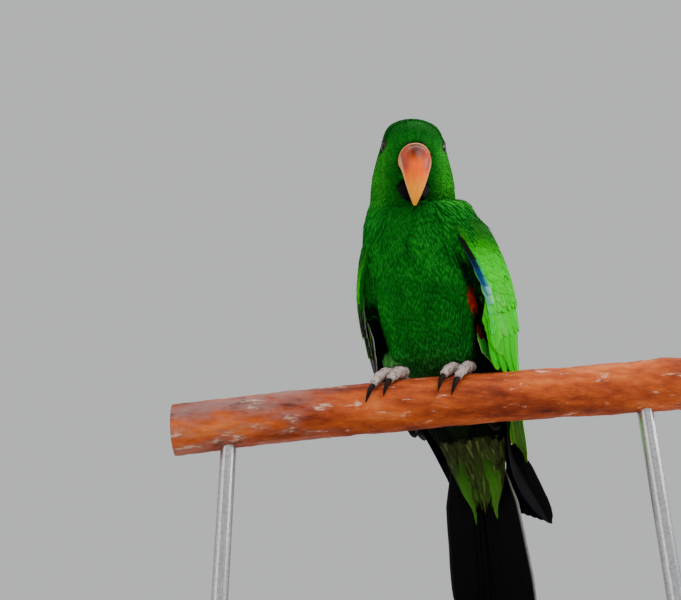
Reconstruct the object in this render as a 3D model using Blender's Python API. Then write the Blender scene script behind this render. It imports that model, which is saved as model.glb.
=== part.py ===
"""Male eclectus parrot: a still, life-size museum model on a cut length of branch and a display stand.

Metres, +Z up. The origin is the centre of the stand's underside and the branch runs along X.
The bird's own frame has its origin on the branch's axis: it faces -Y and its left side is +X.
"""
import math

import bmesh
import bpy
from mathutils import Euler, Matrix, Vector

MM = 0.001
GAP = 0.3 * MM

# Stand
BASE_LENGTH = 290 * MM
BASE_DEPTH = 170 * MM
BASE_HEIGHT = 12 * MM
BASE_BEVEL = 3 * MM
ROD_RADIUS = 4.5 * MM
ROD_OFFSET = 118 * MM
ROD_SOCKET = 6 * MM

# Branch
PERCH_HEIGHT = 178 * MM
PERCH_LENGTH = 300 * MM
PERCH_RADIUS = 14.7 * MM
PERCH_TILT = math.radians(5.2)
PERCH_BOW = 0.13
PERCH_KNOTS = ((-96 * MM, 200.0, 1.6 * MM), (104 * MM, 40.0, 2.6 * MM), (132 * MM, 130.0, 2.2 * MM))
KNOT_SPREAD = 13 * MM

# Stance
BODY_YAW = math.radians(-25)
BODY_LEAN = math.radians(16)
HEAD_YAW = math.radians(23.5)
HEAD_ROLL = math.radians(2.5)
HEAD_BOW = math.radians(34)
EYE_MIDDLE = Vector((4.2, -33.5, 154.5)) * MM
FOOT_PLACES = {"left": 19 * MM, "right": -20 * MM}

# Torso outline from the vent up to the shoulders: height, sideways, back shift, half width, front, back
TORSO_ROWS = (
    (-12, 3, 60, 20, 14, 12),
    (0, 2.5, 52, 27, 19, 16.5),
    (14, 1, 41, 30.5, 23, 19),
    (28, -1, 28, 32, 30, 21),
    (43, -1.5, 18, 34.5, 36, 23),
    (60, -1, 10, 36.5, 38, 25),
    (78, -1.5, 4, 37, 38.5, 25.5),
    (96, -2.5, -0.5, 37.5, 36, 24.5),
    (111, -4, -4.5, 37, 31.5, 25),
    (122, -5, -7.5, 34.5, 27, 26),
)

# Head outline from the throat up to the crown: height over the eyes, set back, half width, front, back
HEAD_ROWS = (
    (-33, 10, 27.4, 17, 24),
    (-22, 9, 26.4, 20, 25),
    (-11, 8.5, 23.8, 24, 25.5),
    (0, 8, 20.4, 27, 25),
    (8, 8, 18.2, 23.5, 24),
    (13, 8, 15.0, 17.5, 20),
    (16.2, 8, 9.2, 10.5, 13.5),
    (17.6, 8, 3, 3.5, 5),
)

# Outline round both folded wings: height, sideways, back shift, half width, front, back
WING_ROWS = (
    (126, -4, -8, 31, 25, 27),
    (110, -3, -3, 39.5, 33, 33),
    (96, -2, 0, 44, 38, 36),
    (78, -1.5, 4.5, 48, 40.5, 37.5),
    (60, -0.5, 9, 49, 41, 39),
    (43, 0, 14, 48, 39.5, 40),
    (28, 0, 19, 45.5, 36, 43),
    (10, 0, 30, 42, 31, 46.5),
    (-10, 0, 42, 38.5, 26, 52),
    (-30, 0, 55, 37, 22, 50),
    (-50, 0, 66, 38.5, 19, 43),
    (-72, 0, 78, 40, 17, 37),
)

# Core of the feathers under the tail, from the vent down: the same columns as the torso
UNDERTAIL_ROWS = (
    (-12.32, 3, 60.2, 19.6, 13.8, 8.0),
    (-24, 3, 65.5, 16.5, 9, 5.6),
    (-36, 3, 70.5, 12, 5.5, 3.8),
    (-47, 3, 74.5, 6.5, 2.6, 2.4),
    (-62, 3, 79, 5, 2, 1.2),
)

# Bill halves in the head's frame: forward, up, droop in degrees, half width, half depth
UPPER_BILL_ROWS = (
    (8, -9.0, 0, 8.8, 9.1),
    (14, -8.8, 0, 9.3, 9.5),
    (19.8, -8.9, 12, 9.5, 10.0),
    (25.2, -11.0, 36, 9.2, 10.1),
    (30.1, -15.6, 60, 7.9, 8.3),
    (33.1, -22.3, 78, 5.9, 5.8),
    (34.1, -28.6, 90, 3.6, 3.5),
    (33.6, -34.8, 100, 0.9, 0.9),
)
LOWER_BILL_ROWS = (
    (3, -24, 4, 8.4, 5.0),
    (9, -24.8, 5, 9, 5.5),
    (16, -25.8, 12, 9.6, 5.6),
    (22.3, -27.6, 27, 9.0, 5.2),
    (27, -30.8, 44, 6.4, 3.2),
)

BODY_SIDES = 28
BODY_RINGS = 15
NECK_RINGS = 4
HEAD_RINGS = 12
BILL_SIDES = 14
BILL_RINGS = 9


def read_rows(rows, place):
    """Read one row at a fractional place on a smooth curve through all rows."""
    last = len(rows) - 1
    place = min(max(place, 0.0), float(last))
    low = min(int(place), last - 1)
    t = place - low
    before = rows[max(low - 1, 0)]
    start = rows[low]
    end = rows[low + 1]
    after = rows[min(low + 2, last)]
    result = []
    for a, b, c, d in zip(before, start, end, after):
        bend = 2 * a - 5 * b + 4 * c - d
        twist = -a + 3 * b - 3 * c + d
        result.append(0.5 * (2 * b + (c - a) * t + bend * t * t + twist * t ** 3))
    return result


def turned(yaw, vector):
    """Turn a vector about the upright axis."""
    return Matrix.Rotation(yaw, 3, "Z") @ Vector(vector)


def section(centre, yaw, lean, sizes):
    """One cross-section of the body: its centre, its axes and its half sizes."""
    return {
        "centre": Vector(centre),
        "left": turned(yaw, (1, 0, 0)),
        "back": turned(yaw, (0, math.cos(lean), math.sin(lean))),
        "sizes": sizes,
    }


def section_point(ring, angle, grow=0.0):
    """Point of a cross-section; the angle runs from the left side towards the back."""
    width, front, back = ring["sizes"]
    depth = back if math.sin(angle) > 0 else front
    across = ring["left"] * (width + grow) * math.cos(angle)
    return ring["centre"] + across + ring["back"] * (depth + grow) * math.sin(angle)


def torso_section(place):
    height, sideways, shift, width, front, back = [v * MM for v in read_rows(TORSO_ROWS, place)]
    return section((sideways, shift, height), 0.0, BODY_LEAN, (width, front, back))


def head_axes():
    """The head's left, forward and upward directions in the bird's frame."""
    level = turned(HEAD_YAW, (1, 0, 0))
    ahead = turned(HEAD_YAW, (0, -math.cos(HEAD_BOW), -math.sin(HEAD_BOW)))
    above = turned(HEAD_YAW, (0, -math.sin(HEAD_BOW), math.cos(HEAD_BOW)))
    side = level * math.cos(HEAD_ROLL) - above * math.sin(HEAD_ROLL)
    return side, ahead, above * math.cos(HEAD_ROLL) + level * math.sin(HEAD_ROLL)


def head_point(left, forward, up):
    """A place in the head's frame, whose origin lies between the eyes, in the bird's frame."""
    side, ahead, above = head_axes()
    return EYE_MIDDLE + side * left + ahead * forward + above * up


def head_section(place):
    height, setback, width, front, back = [v * MM for v in read_rows(HEAD_ROWS, place)]
    side, ahead, _ = head_axes()
    centre = head_point(-height * math.sin(HEAD_ROLL), -setback, height)
    return {"centre": centre, "left": side, "back": -ahead, "sizes": (width, front, back)}


def blend_sections(low, high, t):
    """A cross-section between the shoulders and the throat."""
    ease = t * t * (3 - 2 * t)
    left = low["left"].lerp(high["left"], ease).normalized()
    back = low["back"].lerp(high["back"], ease).normalized()
    sizes = [a + (b - a) * ease for a, b in zip(low["sizes"], high["sizes"])]
    return {"centre": low["centre"].lerp(high["centre"], t), "left": left, "back": back, "sizes": sizes}


def material(name, colour, roughness=0.6, metallic=0.0):
    made = bpy.data.materials.new(name)
    made.use_nodes = True
    shader = made.node_tree.nodes["Principled BSDF"]
    shader.inputs["Base Color"].default_value = (*colour, 1.0)
    shader.inputs["Roughness"].default_value = roughness
    shader.inputs["Metallic"].default_value = metallic
    return made


def finish_mesh(name, bm, frame=None, colour=None, roughness=0.6, smooth=True):
    """Turn a bmesh into a named object whose faces point out."""
    bmesh.ops.recalc_face_normals(bm, faces=bm.faces)
    if bm.calc_volume(signed=True) < 0:
        bmesh.ops.reverse_faces(bm, faces=bm.faces)
    mesh = bpy.data.meshes.new(name)
    bm.to_mesh(mesh)
    bm.free()
    made = bpy.data.objects.new(name, mesh)
    made.parent = frame
    bpy.context.scene.collection.objects.link(made)
    if smooth:
        mesh.shade_smooth()
        mesh.set_sharp_from_angle(angle=math.radians(40))
    if colour:
        mesh.materials.append(material(name + "_finish", colour, roughness))
    return made


def ring_mesh(rings):
    """Join rings of points into one closed tube with flat ends."""
    bm = bmesh.new()
    rows = [[bm.verts.new(point) for point in ring] for ring in rings]
    count = len(rows[0])
    for low, high in zip(rows, rows[1:]):
        for i in range(count):
            j = (i + 1) % count
            bm.faces.new((low[i], low[j], high[j], high[i]))
    bm.faces.new(reversed(rows[0]))
    bm.faces.new(rows[-1])
    return bm


def section_rings(sections, sides, grow=0.0):
    step = math.tau / sides
    return [[section_point(ring, i * step, grow) for i in range(sides)] for ring in sections]


def torso_rings(grow):
    sections = [torso_section(place) for place in spread(BODY_RINGS, TORSO_ROWS)]
    return section_rings(sections, BODY_SIDES, grow)


def spread(count, rows):
    """Evenly spread places along a table of rows."""
    return [i * (len(rows) - 1) / count for i in range(count + 1)]


def tube_rings(points, radii, sides, up=(0, 0, 1), flatness=1.0):
    """Rings along a route, squeezed by flatness towards the given up direction."""
    rings = []
    for i, point in enumerate(points):
        ahead = (points[min(i + 1, len(points) - 1)] - points[max(i - 1, 0)]).normalized()
        side = ahead.cross(Vector(up)).normalized()
        top = side.cross(ahead).normalized() * flatness
        turns = [math.tau * k / sides for k in range(sides)]
        rings.append([point + (side * math.cos(a) + top * math.sin(a)) * radii[i] for a in turns])
    return rings


def boolean(target, other, operation):
    """Cut or join by another object or by a whole collection, and apply it."""
    modifier = target.modifiers.new("join", "BOOLEAN")
    modifier.operation = operation
    modifier.solver = "EXACT"
    if isinstance(other, bpy.types.Collection):
        modifier.operand_type = "COLLECTION"
        modifier.collection = other
    else:
        modifier.object = other
    bpy.context.view_layer.update()
    graph = bpy.context.evaluated_depsgraph_get()
    mesh = bpy.data.meshes.new_from_object(target.evaluated_get(graph))
    target.modifiers.remove(modifier)
    old = target.data
    target.data = mesh
    bpy.data.meshes.remove(old)


def keep_largest(target):
    """Keep only the largest closed surface of a mesh."""
    bm = bmesh.new()
    bm.from_mesh(target.data)
    left = set(bm.verts)
    pieces = []
    while left:
        seed = left.pop()
        piece = {seed}
        rim = [seed]
        while rim:
            vert = rim.pop()
            for link in vert.link_edges:
                other = link.other_vert(vert)
                if other not in piece:
                    piece.add(other)
                    rim.append(other)
        left -= piece
        pieces.append(piece)
    pieces.sort(key=len)
    spare = [vert for piece in pieces[:-1] for vert in piece]
    bmesh.ops.delete(bm, geom=spare, context="VERTS")
    bm.to_mesh(target.data)
    bm.free()


def remove_objects(objects):
    for item in list(objects):
        mesh = item.data
        bpy.data.objects.remove(item)
        bpy.data.meshes.remove(mesh)


def cut(target, cutters):
    """Cut by each cutter in turn; the cutters stay for other pieces."""
    for cutter in cutters:
        boolean(target, cutter, "DIFFERENCE")
    keep_largest(target)


def fuse(target, pieces):
    """Join loose pieces to their root and keep one closed body."""
    group = bpy.data.collections.new(target.name + "_pieces")
    bpy.context.scene.collection.children.link(group)
    for piece in pieces:
        group.objects.link(piece)
    boolean(target, group, "UNION")
    remove_objects(pieces)
    bpy.data.collections.remove(group)
    keep_largest(target)


# Feather vanes
VANE_THICKNESS = 0.75 * MM
VANE_THINNING = 0.25
VANE_STEPS = 5
# Width along a vane: share at the root, how fast it widens, where the tip starts to round, its blunt end
VANE_ROOT = 0.4
VANE_WIDENING = 2.0
VANE_ROUNDING = 0.72
VANE_BLUNT = 0.28
# Slope of a vane across its width, so that it rests on the next one
SHINGLE = 0.11
FLARE_START = 0.66
TWIST_START = 0.46
TWIST_GROWTH = 1.5
DEPTH_SETTLING = 3.0
# Half step between the places that give a surface's direction, in rows and in radians
PROBE = 0.05


def vane_width(t):
    """Share of the full width along a vane: a narrow root, a broad middle and a round tip."""
    rise = min(1.0, VANE_ROOT + VANE_WIDENING * t)
    past = max(0.0, (t - VANE_ROUNDING) / (1 - VANE_ROUNDING))
    return rise * max(math.sqrt(max(0.0, 1 - past ** 2)), VANE_BLUNT)


def vane(name, frame, place, width, tilt=0.0, steps=VANE_STEPS, thickness=VANE_THICKNESS):
    """A thin tapered vane; place(t, across) gives a point of its middle surface and the normal."""
    bm = bmesh.new()
    rings = []
    for step in range(steps + 1):
        t = step / steps
        half = 0.5 * width * vane_width(t)
        thick = thickness * (1 - VANE_THINNING * t)
        top, under = [], []
        for k in (-1, 0, 1):
            point, normal = place(t, k * half)
            point = point + normal * (tilt * k * half)
            top.append(bm.verts.new(point + normal * thick / 2))
            under.append(bm.verts.new(point - normal * thick / 2))
        rings.append((top, under))
    for (top, under), (next_top, next_under) in zip(rings, rings[1:]):
        for k in (0, 1):
            for low, high in ((top, next_top), (under, next_under)):
                bm.faces.new((low[k], low[k + 1], high[k + 1]))
                bm.faces.new((low[k], high[k + 1], high[k]))
        for k in (0, 2):
            bm.faces.new((top[k], under[k], next_under[k]))
            bm.faces.new((top[k], next_under[k], next_top[k]))
    for top, under in (rings[0], rings[-1]):
        for k in (0, 1):
            bm.faces.new((top[k], top[k + 1], under[k + 1]))
            bm.faces.new((top[k], under[k + 1], under[k]))
    return finish_mesh(name, bm, frame, smooth=False)


def rows_surface(rows, side, height, angle, depth):
    """Point and outward normal on an outline given by rows, in millimetres and degrees.

    The angle runs from the bird's side towards its back; side -1 mirrors it to the right.
    """
    place = 0.0
    for i, (upper, lower) in enumerate(zip(rows, rows[1:])):
        if height <= upper[0]:
            place = i + (upper[0] - height) / (upper[0] - lower[0])
    place = min(place, len(rows) - 1.0)

    def raw(spot, turn):
        level, sideways, shift, width, front, back = [v * MM for v in read_rows(rows, spot)]
        ring = section((side * sideways, shift, level), 0.0, BODY_LEAN, (width, front, back))
        return section_point(ring, turn)

    turn = math.radians(angle)
    point = raw(place, turn)
    along = raw(min(place + PROBE, len(rows) - 1.0), turn) - raw(max(place - PROBE, 0.0), turn)
    around = raw(place, turn + PROBE) - raw(place, turn - PROBE)
    normal = along.cross(around).normalized()
    point = point + normal * depth * MM
    point.x *= side
    normal.x *= side
    return point, normal


def feather_place(rows, side, root, tip, depth, radius, bend=1.2, flare=(0, 0, 0), twist=0.0):
    """Middle surface of a feather that lies on an outline, from root to tip (height, angle).

    Its depth runs from the first to the second value; bend curves its way round, flare lifts its tip
    and twist turns its tip so that the edge on the breast's side stands out.
    """
    fall = tip[0] - root[0]
    sweep = math.radians(tip[1] - root[1]) * radius
    length = math.hypot(fall, sweep)
    offset = Vector(flare) * MM

    def lie(t, across):
        step = across / MM / length
        height = root[0] + fall * t - step * sweep
        angle = root[1] + (tip[1] - root[1]) * t ** bend + math.degrees(step * fall / radius)
        level = depth[0] + (depth[1] - depth[0]) * min(1.0, DEPTH_SETTLING * t)
        return rows_surface(rows, side, height, angle, level)

    def place(t, across):
        point, normal = lie(t, across)
        turn = twist * max(0.0, (t - TWIST_START) / (1 - TWIST_START)) ** TWIST_GROWTH
        if turn:
            middle, normal = lie(t, 0.0)
            edge = point - middle
            point = middle + edge * math.cos(turn) - normal * across * math.sin(turn)
            side_way = edge.normalized() * math.copysign(1.0, across) if across else Vector()
            normal = (normal * math.cos(turn) + side_way * math.sin(turn)).normalized()
        return point + offset * max(0.0, (t - FLARE_START) / (1 - FLARE_START)) ** 2, normal

    return place


# Wings
EDGE_HEIGHT = 66.0
EDGE_SLOPE = 0.14
SHOULDER_FRONT = -52.0
SHOULDER_SWEEP = 15.0
SHOULDER_BACK = 78.0
# Top of the shoulder: its height at the ends, how far it arches and the part of a half wave that it takes
SHOULDER_TOP = 106.0
SHOULDER_ARCH = 13.0
SHOULDER_WAVE = (0.12, 0.7)
SHOULDER_DEPTH = 11.6
SHOULDER_RIM = 5.0
SHOULDER_OVERHANG = 0.4
WING_RADIUS = 44.0
# Depth under the wing's outline and room of each tier; a strip along the roots carries its vanes
LAYERS = {"coverts": (-2.1, 2.8), "secondaries": (-5.3, 3.0), "primaries": (-10.4, 3.6)}
ROOT_STRIP = 8.0
ROOT_STRIP_OVERHANG = 5.0
ROOT_STRIP_INSET = 0.2
ROOT_DROP = 4.0
SECONDARY_TIPS = (
    (28, -28), (22, -13), (12, 6), (-2, 22), (-9, 34), (-12, 47), (-7, 60), (12, 72),
)
# The left wing hangs lower, so its longest secondaries reach further down
SECONDARY_DROP = {"left": 13.0, "right": 0.0}
# Angles of the roots, first and last, and how far a covert reaches down and back
SECONDARY_ROOTS = (-35, 71)
COVERT_ROOTS = (-34, 69)
COVERT_COUNT = 6
COVERT_REACH = (20, 7)
PRIMARY_ROOTS = (-12, 36)
PRIMARY_COUNT = 4
# How much each next primary is shorter, and the share of the flare that it loses
PRIMARY_STEP = 4.0
PRIMARY_FLARE_LOSS = 0.25
PRIMARY_BEND = 0.9
# Vane width, slope across it and number of steps along it
COVERT_SHAPE = (23, SHINGLE, 4)
SECONDARY_SHAPE = (22, 0.9 * SHINGLE, 5)
PRIMARY_SHAPE = (17, 1.2 * SHINGLE, 6)
# Tip of the longest primary: height, angle, lift of the tip, spread and twist of the tips in degrees
PRIMARY_TIP = {"left": (-57, 33, (14, 12, 0), 6, 60), "right": (-52, 58, (-1, 5, 0), 4, 0)}
WING_GREEN = (0.06, 0.42, 0.04)
FLIGHT_BLACK = (0.01, 0.012, 0.02)


def edge_height(angle):
    """Height where the wing's smooth shoulder gives way to the long feathers."""
    return EDGE_HEIGHT + EDGE_SLOPE * angle


def wing_slab(name, frame, side, spot, depths, counts, colour):
    """A closed curved block on the wing; spot(i, t) gives height and angle, depths(i, t) its two faces."""
    bm = bmesh.new()
    across, along = counts
    grids = []
    for shell in (0, 1):
        grid = []
        for i in range(across + 1):
            column = []
            for j in range(along + 1):
                share = (i / across, j / along)
                height, angle = spot(*share)
                point, _ = rows_surface(WING_ROWS, side, height, angle, depths(*share)[shell])
                column.append(bm.verts.new(point))
            grid.append(column)
        grids.append(grid)
    close_grids(bm, grids[0], grids[1])
    return finish_mesh(name, bm, frame, colour)


def close_grids(bm, outer, inner):
    """Join two like grids of vertices into one closed block."""
    for grid in (outer, inner):
        for low, high in zip(grid, grid[1:]):
            for j in range(len(low) - 1):
                bm.faces.new((low[j], high[j], high[j + 1], low[j + 1]))
    for low, high, low_in, high_in in zip(outer, outer[1:], inner, inner[1:]):
        for j in (0, -1):
            bm.faces.new((low[j], high[j], high_in[j], low_in[j]))
    for k in (0, -1):
        for j in range(len(outer[k]) - 1):
            bm.faces.new((outer[k][j], outer[k][j + 1], inner[k][j + 1], inner[k][j]))


def build_shoulder(frame, side, label):
    def spot(i, t):
        angle = SHOULDER_FRONT + (SHOULDER_BACK - SHOULDER_FRONT) * i + SHOULDER_SWEEP * t * (1 - i) ** 2
        wave = SHOULDER_WAVE[0] + SHOULDER_WAVE[1] * i
        top = SHOULDER_TOP + SHOULDER_ARCH * math.sin(math.pi * wave)
        return top + (edge_height(angle) + SHOULDER_OVERHANG - top) * t, angle

    def depths(i, t):
        # The outer face rounds off towards the top, the breast and the back
        rim = min(1.0, 0.15 + 2.6 * t, 0.5 + 3.0 * i, 0.4 + 4.0 * (1 - i))
        outer = -SHOULDER_RIM * (1.0 - rim) ** 1.5
        return outer, -SHOULDER_DEPTH * (0.5 + 0.5 * min(1.0, 2.2 * t))

    return wing_slab(f"wing_{label}_shoulder", frame, side, spot, depths, (14, 7), WING_GREEN)


def build_tier(frame, side, label, tier, roots, places, shape, colour):
    """One tier of long feathers: a thin root strip under the shoulder's edge and its vanes."""
    width, tilt, steps = shape
    depth, thick = LAYERS[tier]
    first = roots[0] - ROOT_STRIP_OVERHANG
    last = roots[-1] + ROOT_STRIP_OVERHANG

    def spot(i, t):
        angle = first + (last - first) * i
        return edge_height(angle) - ROOT_STRIP * t, angle

    def depths(i, t):
        half = thick / 2 - ROOT_STRIP_INSET
        return depth + half, depth - half

    name = f"wing_{label}_{tier}"
    strip = wing_slab(name, frame, side, spot, depths, (10, 1), colour)
    vanes = [vane(f"{name}_{i}", frame, place, width * MM, tilt, steps) for i, place in enumerate(places)]
    fuse(strip, vanes)
    return strip


def even_angles(limits, count):
    """Evenly spread angles from the first to the last."""
    first, last = limits
    return [first + (last - first) * i / (count - 1) for i in range(count)]


def build_wing(frame, side, label):
    count = len(SECONDARY_TIPS)
    angles = even_angles(SECONDARY_ROOTS, count)
    upper = even_angles(COVERT_ROOTS, COVERT_COUNT)
    roots = even_angles(PRIMARY_ROOTS, PRIMARY_COUNT)

    def lay(tier, angle, tip, bend=1.2, flare=(0, 0, 0), twist=0.0):
        depth = (LAYERS[tier][0], LAYERS[tier][0])
        root = (edge_height(angle) - ROOT_DROP, angle)
        return feather_place(WING_ROWS, side, root, tip, depth, WING_RADIUS, bend, flare, twist)

    secondaries = []
    for i, angle in enumerate(angles):
        height, turn = SECONDARY_TIPS[i]
        height -= SECONDARY_DROP[label] * math.sin(math.pi * i / (count - 1)) ** 2
        secondaries.append(lay("secondaries", angle, (height, turn)))
    coverts = []
    for angle in upper:
        tip = (edge_height(angle) - ROOT_DROP - COVERT_REACH[0], angle + COVERT_REACH[1])
        coverts.append(lay("coverts", angle, tip))
    tip_height, tip_angle, flare, fan, twist = PRIMARY_TIP[label]
    primaries = []
    for i, angle in enumerate(roots):
        tip = (tip_height + PRIMARY_STEP * i, tip_angle + fan * i)
        share = 1 - PRIMARY_FLARE_LOSS * i
        lift = [side * flare[0] * share, *flare[1:]]
        primaries.append(lay("primaries", angle, tip, PRIMARY_BEND, lift, math.radians(twist)))
    return [
        build_shoulder(frame, side, label),
        build_tier(frame, side, label, "coverts", upper, coverts, COVERT_SHAPE, WING_GREEN),
        build_tier(frame, side, label, "secondaries", angles, secondaries, SECONDARY_SHAPE, WING_GREEN),
        build_tier(frame, side, label, "primaries", roots, primaries, PRIMARY_SHAPE, FLIGHT_BLACK),
    ]


# Tail
TAIL_SLANT = 0.265
TAIL_PLACE = (-41.0, 80.0)
TAIL_START = -11.0
TAIL_TIP = -125.0
TAIL_PAIRS = 6
TAIL_PITCH = 0.85
TAIL_FAN = 21.0
TAIL_CURL = 0.004
TAIL_ROOT_HALF = 13.0
TAIL_ROUNDING = 15.0
TAIL_TOP_DEPTH = -2.2
TAIL_SPLIT = 0.6
TAIL_WIDTH = 18 * MM
TAIL_THICKNESS = 0.5 * MM
TAIL_SPREADING = 0.8
# Blocks that carry the tail's feathers and the coverts over them: height, half width, back face, front face
TAIL_ROOT_ROWS = ((2.5, 9, -3.4, 8.0), (-7.6, 11, -3.4, 8.0), (-8.2, 14, -3.4, 2.6), (-18, 16, -3.4, 2.6))
RUMP_ROWS = ((12, 7, -5.2, 6.0), (3.5, 8, -5.6, 6.0), (3.2, 8, -5.6, -3.8), (-12, 11, -5.9, -3.8))
# Feathers over the tail: places of their tips, how far they reach and the depths they take in turn
UPPERTAIL_TIPS = (-10, -5, 0, 5, 10)
UPPERTAIL_START = -8.0
UPPERTAIL_REACH = -31.0
UPPERTAIL_ROUNDING = 0.08
UPPERTAIL_DEPTHS = (-4.4, -5.35)
UPPERTAIL_WIDTH = 10 * MM
UPPERTAIL_THICKNESS = 0.6 * MM
UNDERTAIL_START = -17.0
UNDERTAIL_SINK = -0.6
UNDERTAIL_RADIUS = 11.0
# Feathers under the tail: root and tip angle, tip height, depth, width
UNDERTAIL_VANES = ((-160, -146, -40, 0.2, 11), (-20, -34, -38, 0.2, 11), (-113, -160, -58, 1.4, 10),
                   (-67, -20, -56, 1.4, 10))


def tail_surface(height, across, depth):
    """A point on the tail's sheet and its normal towards the belly, in millimetres."""
    back = TAIL_PLACE[1] - (height - TAIL_PLACE[0]) * TAIL_SLANT
    normal = Vector((0, -1, -TAIL_SLANT)).normalized()
    level = depth + TAIL_CURL * across * across
    return (Vector((across, back, height)) + normal * level) * MM, normal


def tail_block(name, frame, rows, grow, wide, colour):
    """A closed block on the tail's sheet; each row gives height, half width and the depth of both faces."""
    bm = bmesh.new()
    grids = []
    for shell in (2, 3):
        grid = []
        for j, row in enumerate(rows):
            height = row[0] + grow * (j == 0) - grow * (j == len(rows) - 1)
            half = row[1] + grow
            level = row[shell] + grow * (2 * shell - 5)
            spots = [half * (2 * i / wide - 1) for i in range(wide + 1)]
            grid.append([bm.verts.new(tail_surface(height, spot, level)[0]) for spot in spots])
        grids.append(grid)
    close_grids(bm, grids[0], grids[1])
    return finish_mesh(name, bm, frame, colour)


def tail_place(root, tip, depth, limit):
    """Middle surface of a tail feather; limit keeps its inner edge on its own side of the middle."""
    def place(t, across):
        height = root[0] + (tip[0] - root[0]) * t
        middle = root[1] + (tip[1] - root[1]) * t ** TAIL_SPREADING
        spot = middle + across / MM
        if limit > 0:
            spot = max(spot, limit)
        if limit < 0:
            spot = min(spot, limit)
        return tail_surface(height, spot, depth)
    return place


def build_tail(frame):
    root = tail_block("tail", frame, TAIL_ROOT_ROWS, 0.0, 6, FLIGHT_BLACK)
    vanes = []
    for side in (-1, 1):
        for i in range(TAIL_PAIRS):
            share = (i + 0.5) / TAIL_PAIRS
            tip = (TAIL_TIP + TAIL_ROUNDING * share ** 2, side * TAIL_FAN * share)
            level = TAIL_TOP_DEPTH + TAIL_PITCH * i
            limit = TAIL_SPLIT * side
            if i == 0:
                limit = 0
                level -= TAIL_PITCH * (side < 0)
            place = tail_place((TAIL_START, side * TAIL_ROOT_HALF * share), tip, level, limit)
            vanes.append(vane(f"tail_{side}_{i}", frame, place, TAIL_WIDTH, 0.0, VANE_STEPS, TAIL_THICKNESS))
    fuse(root, vanes)
    return root


def build_undertail(frame):
    core_rows = UNDERTAIL_ROWS[:4]
    sections = []
    for place in spread(6, core_rows):
        row = [v * MM for v in read_rows(core_rows, place)]
        sections.append(section((row[1], row[2], row[0]), 0.0, BODY_LEAN, row[3:]))
    core = finish_mesh("undertail_coverts", ring_mesh(section_rings(sections, 18)), frame, (0.08, 0.16, 0.02))
    vanes = []
    for i, (root, tip, height, depth, width) in enumerate(UNDERTAIL_VANES):
        start = (UNDERTAIL_START, root)
        depths = (UNDERTAIL_SINK, depth)
        place = feather_place(UNDERTAIL_ROWS, 1, start, (height, tip), depths, UNDERTAIL_RADIUS, 1.0)
        vanes.append(vane(f"undertail_{i}", frame, place, width * MM))
    fuse(core, vanes)
    return core


def build_uppertail(frame):
    root = tail_block("uppertail_coverts", frame, RUMP_ROWS, 0.0, 6, WING_GREEN)
    vanes = []
    for i, across in enumerate(UPPERTAIL_TIPS):
        tip = (UPPERTAIL_REACH + UPPERTAIL_ROUNDING * across ** 2, across)
        level = UPPERTAIL_DEPTHS[i % 2]
        place = tail_place((UPPERTAIL_START, across / 2), tip, level, 0)
        vanes.append(vane(f"uppertail_{i}", frame, place, UPPERTAIL_WIDTH, 0.0, 4, UPPERTAIL_THICKNESS))
    fuse(root, vanes)
    return root


# Head details
EYE_RADIUS = 5.4 * MM
EYE_PLACE = (14.6 * MM, -0.3 * MM, -0.8 * MM)
EYE_TURN = math.radians(17)
LID_REACH = 3.9 * MM
LID_RADIUS = 4.9 * MM
LID_THICKNESS = 1.1 * MM
LID_SIDES = 14
LID_RIM = 5
NOSTRIL_RADIUS = 1.0 * MM
NOSTRIL_PLACE = (4.5 * MM, 17.6 * MM, 4.4 * MM)


def ball(name, frame, centre, radius, segments, colour=None):
    bm = bmesh.new()
    bmesh.ops.create_uvsphere(bm, u_segments=segments, v_segments=segments // 2 + 1, radius=radius)
    bmesh.ops.translate(bm, verts=bm.verts, vec=centre)
    return finish_mesh(name, bm, frame, colour, 0.05)


def eye_spot(side, reach):
    """A place on an eye's axis, in the bird's frame."""
    left = side * (EYE_PLACE[0] + reach * math.cos(EYE_TURN))
    return head_point(left, EYE_PLACE[1] + reach * math.sin(EYE_TURN), EYE_PLACE[2])


def lid_ring(frame, side):
    """The ring of bare lid that frames an eye."""
    centre = eye_spot(side, LID_REACH)
    axis = (eye_spot(side, 1.0) - eye_spot(side, 0.0)).normalized()
    up = (head_point(0, 0, 1.0) - head_point(0, 0, 0)).normalized()
    across = axis.cross(up).normalized()
    bm = bmesh.new()
    grid = []
    for i in range(LID_SIDES):
        turn = math.tau * i / LID_SIDES
        out = across * math.cos(turn) + up * math.sin(turn)
        ring = []
        for k in range(LID_RIM):
            tilt = math.tau * k / LID_RIM
            spot = out * (LID_RADIUS + LID_THICKNESS * math.cos(tilt)) + axis * LID_THICKNESS * math.sin(tilt)
            ring.append(bm.verts.new(centre + spot))
        grid.append(ring)
    for i in range(LID_SIDES):
        low, high = grid[i], grid[(i + 1) % LID_SIDES]
        for k in range(LID_RIM):
            j = (k + 1) % LID_RIM
            bm.faces.new((low[k], high[k], high[j], low[j]))
    return finish_mesh("lid", bm, frame, smooth=False)


def bill_half(name, frame, rows, grow, colour):
    """One half of the bill; grow gives the pocket that it sits in."""
    rings = []
    for place in spread(BILL_RINGS, rows):
        forward, up, droop, width, depth = read_rows(rows, place)
        if place == 0:
            forward -= grow
        slope = math.radians(droop)
        ring = []
        for k in range(BILL_SIDES):
            turn = math.tau * k / BILL_SIDES
            across = (width + grow) * math.cos(turn)
            off = (depth + grow) * math.sin(turn)
            spot = (across, forward + off * math.sin(slope), up + off * math.cos(slope))
            ring.append(head_point(*[v * MM for v in spot]))
        rings.append(ring)
    return finish_mesh(name, ring_mesh(rings), frame, colour, 0.3)


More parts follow.
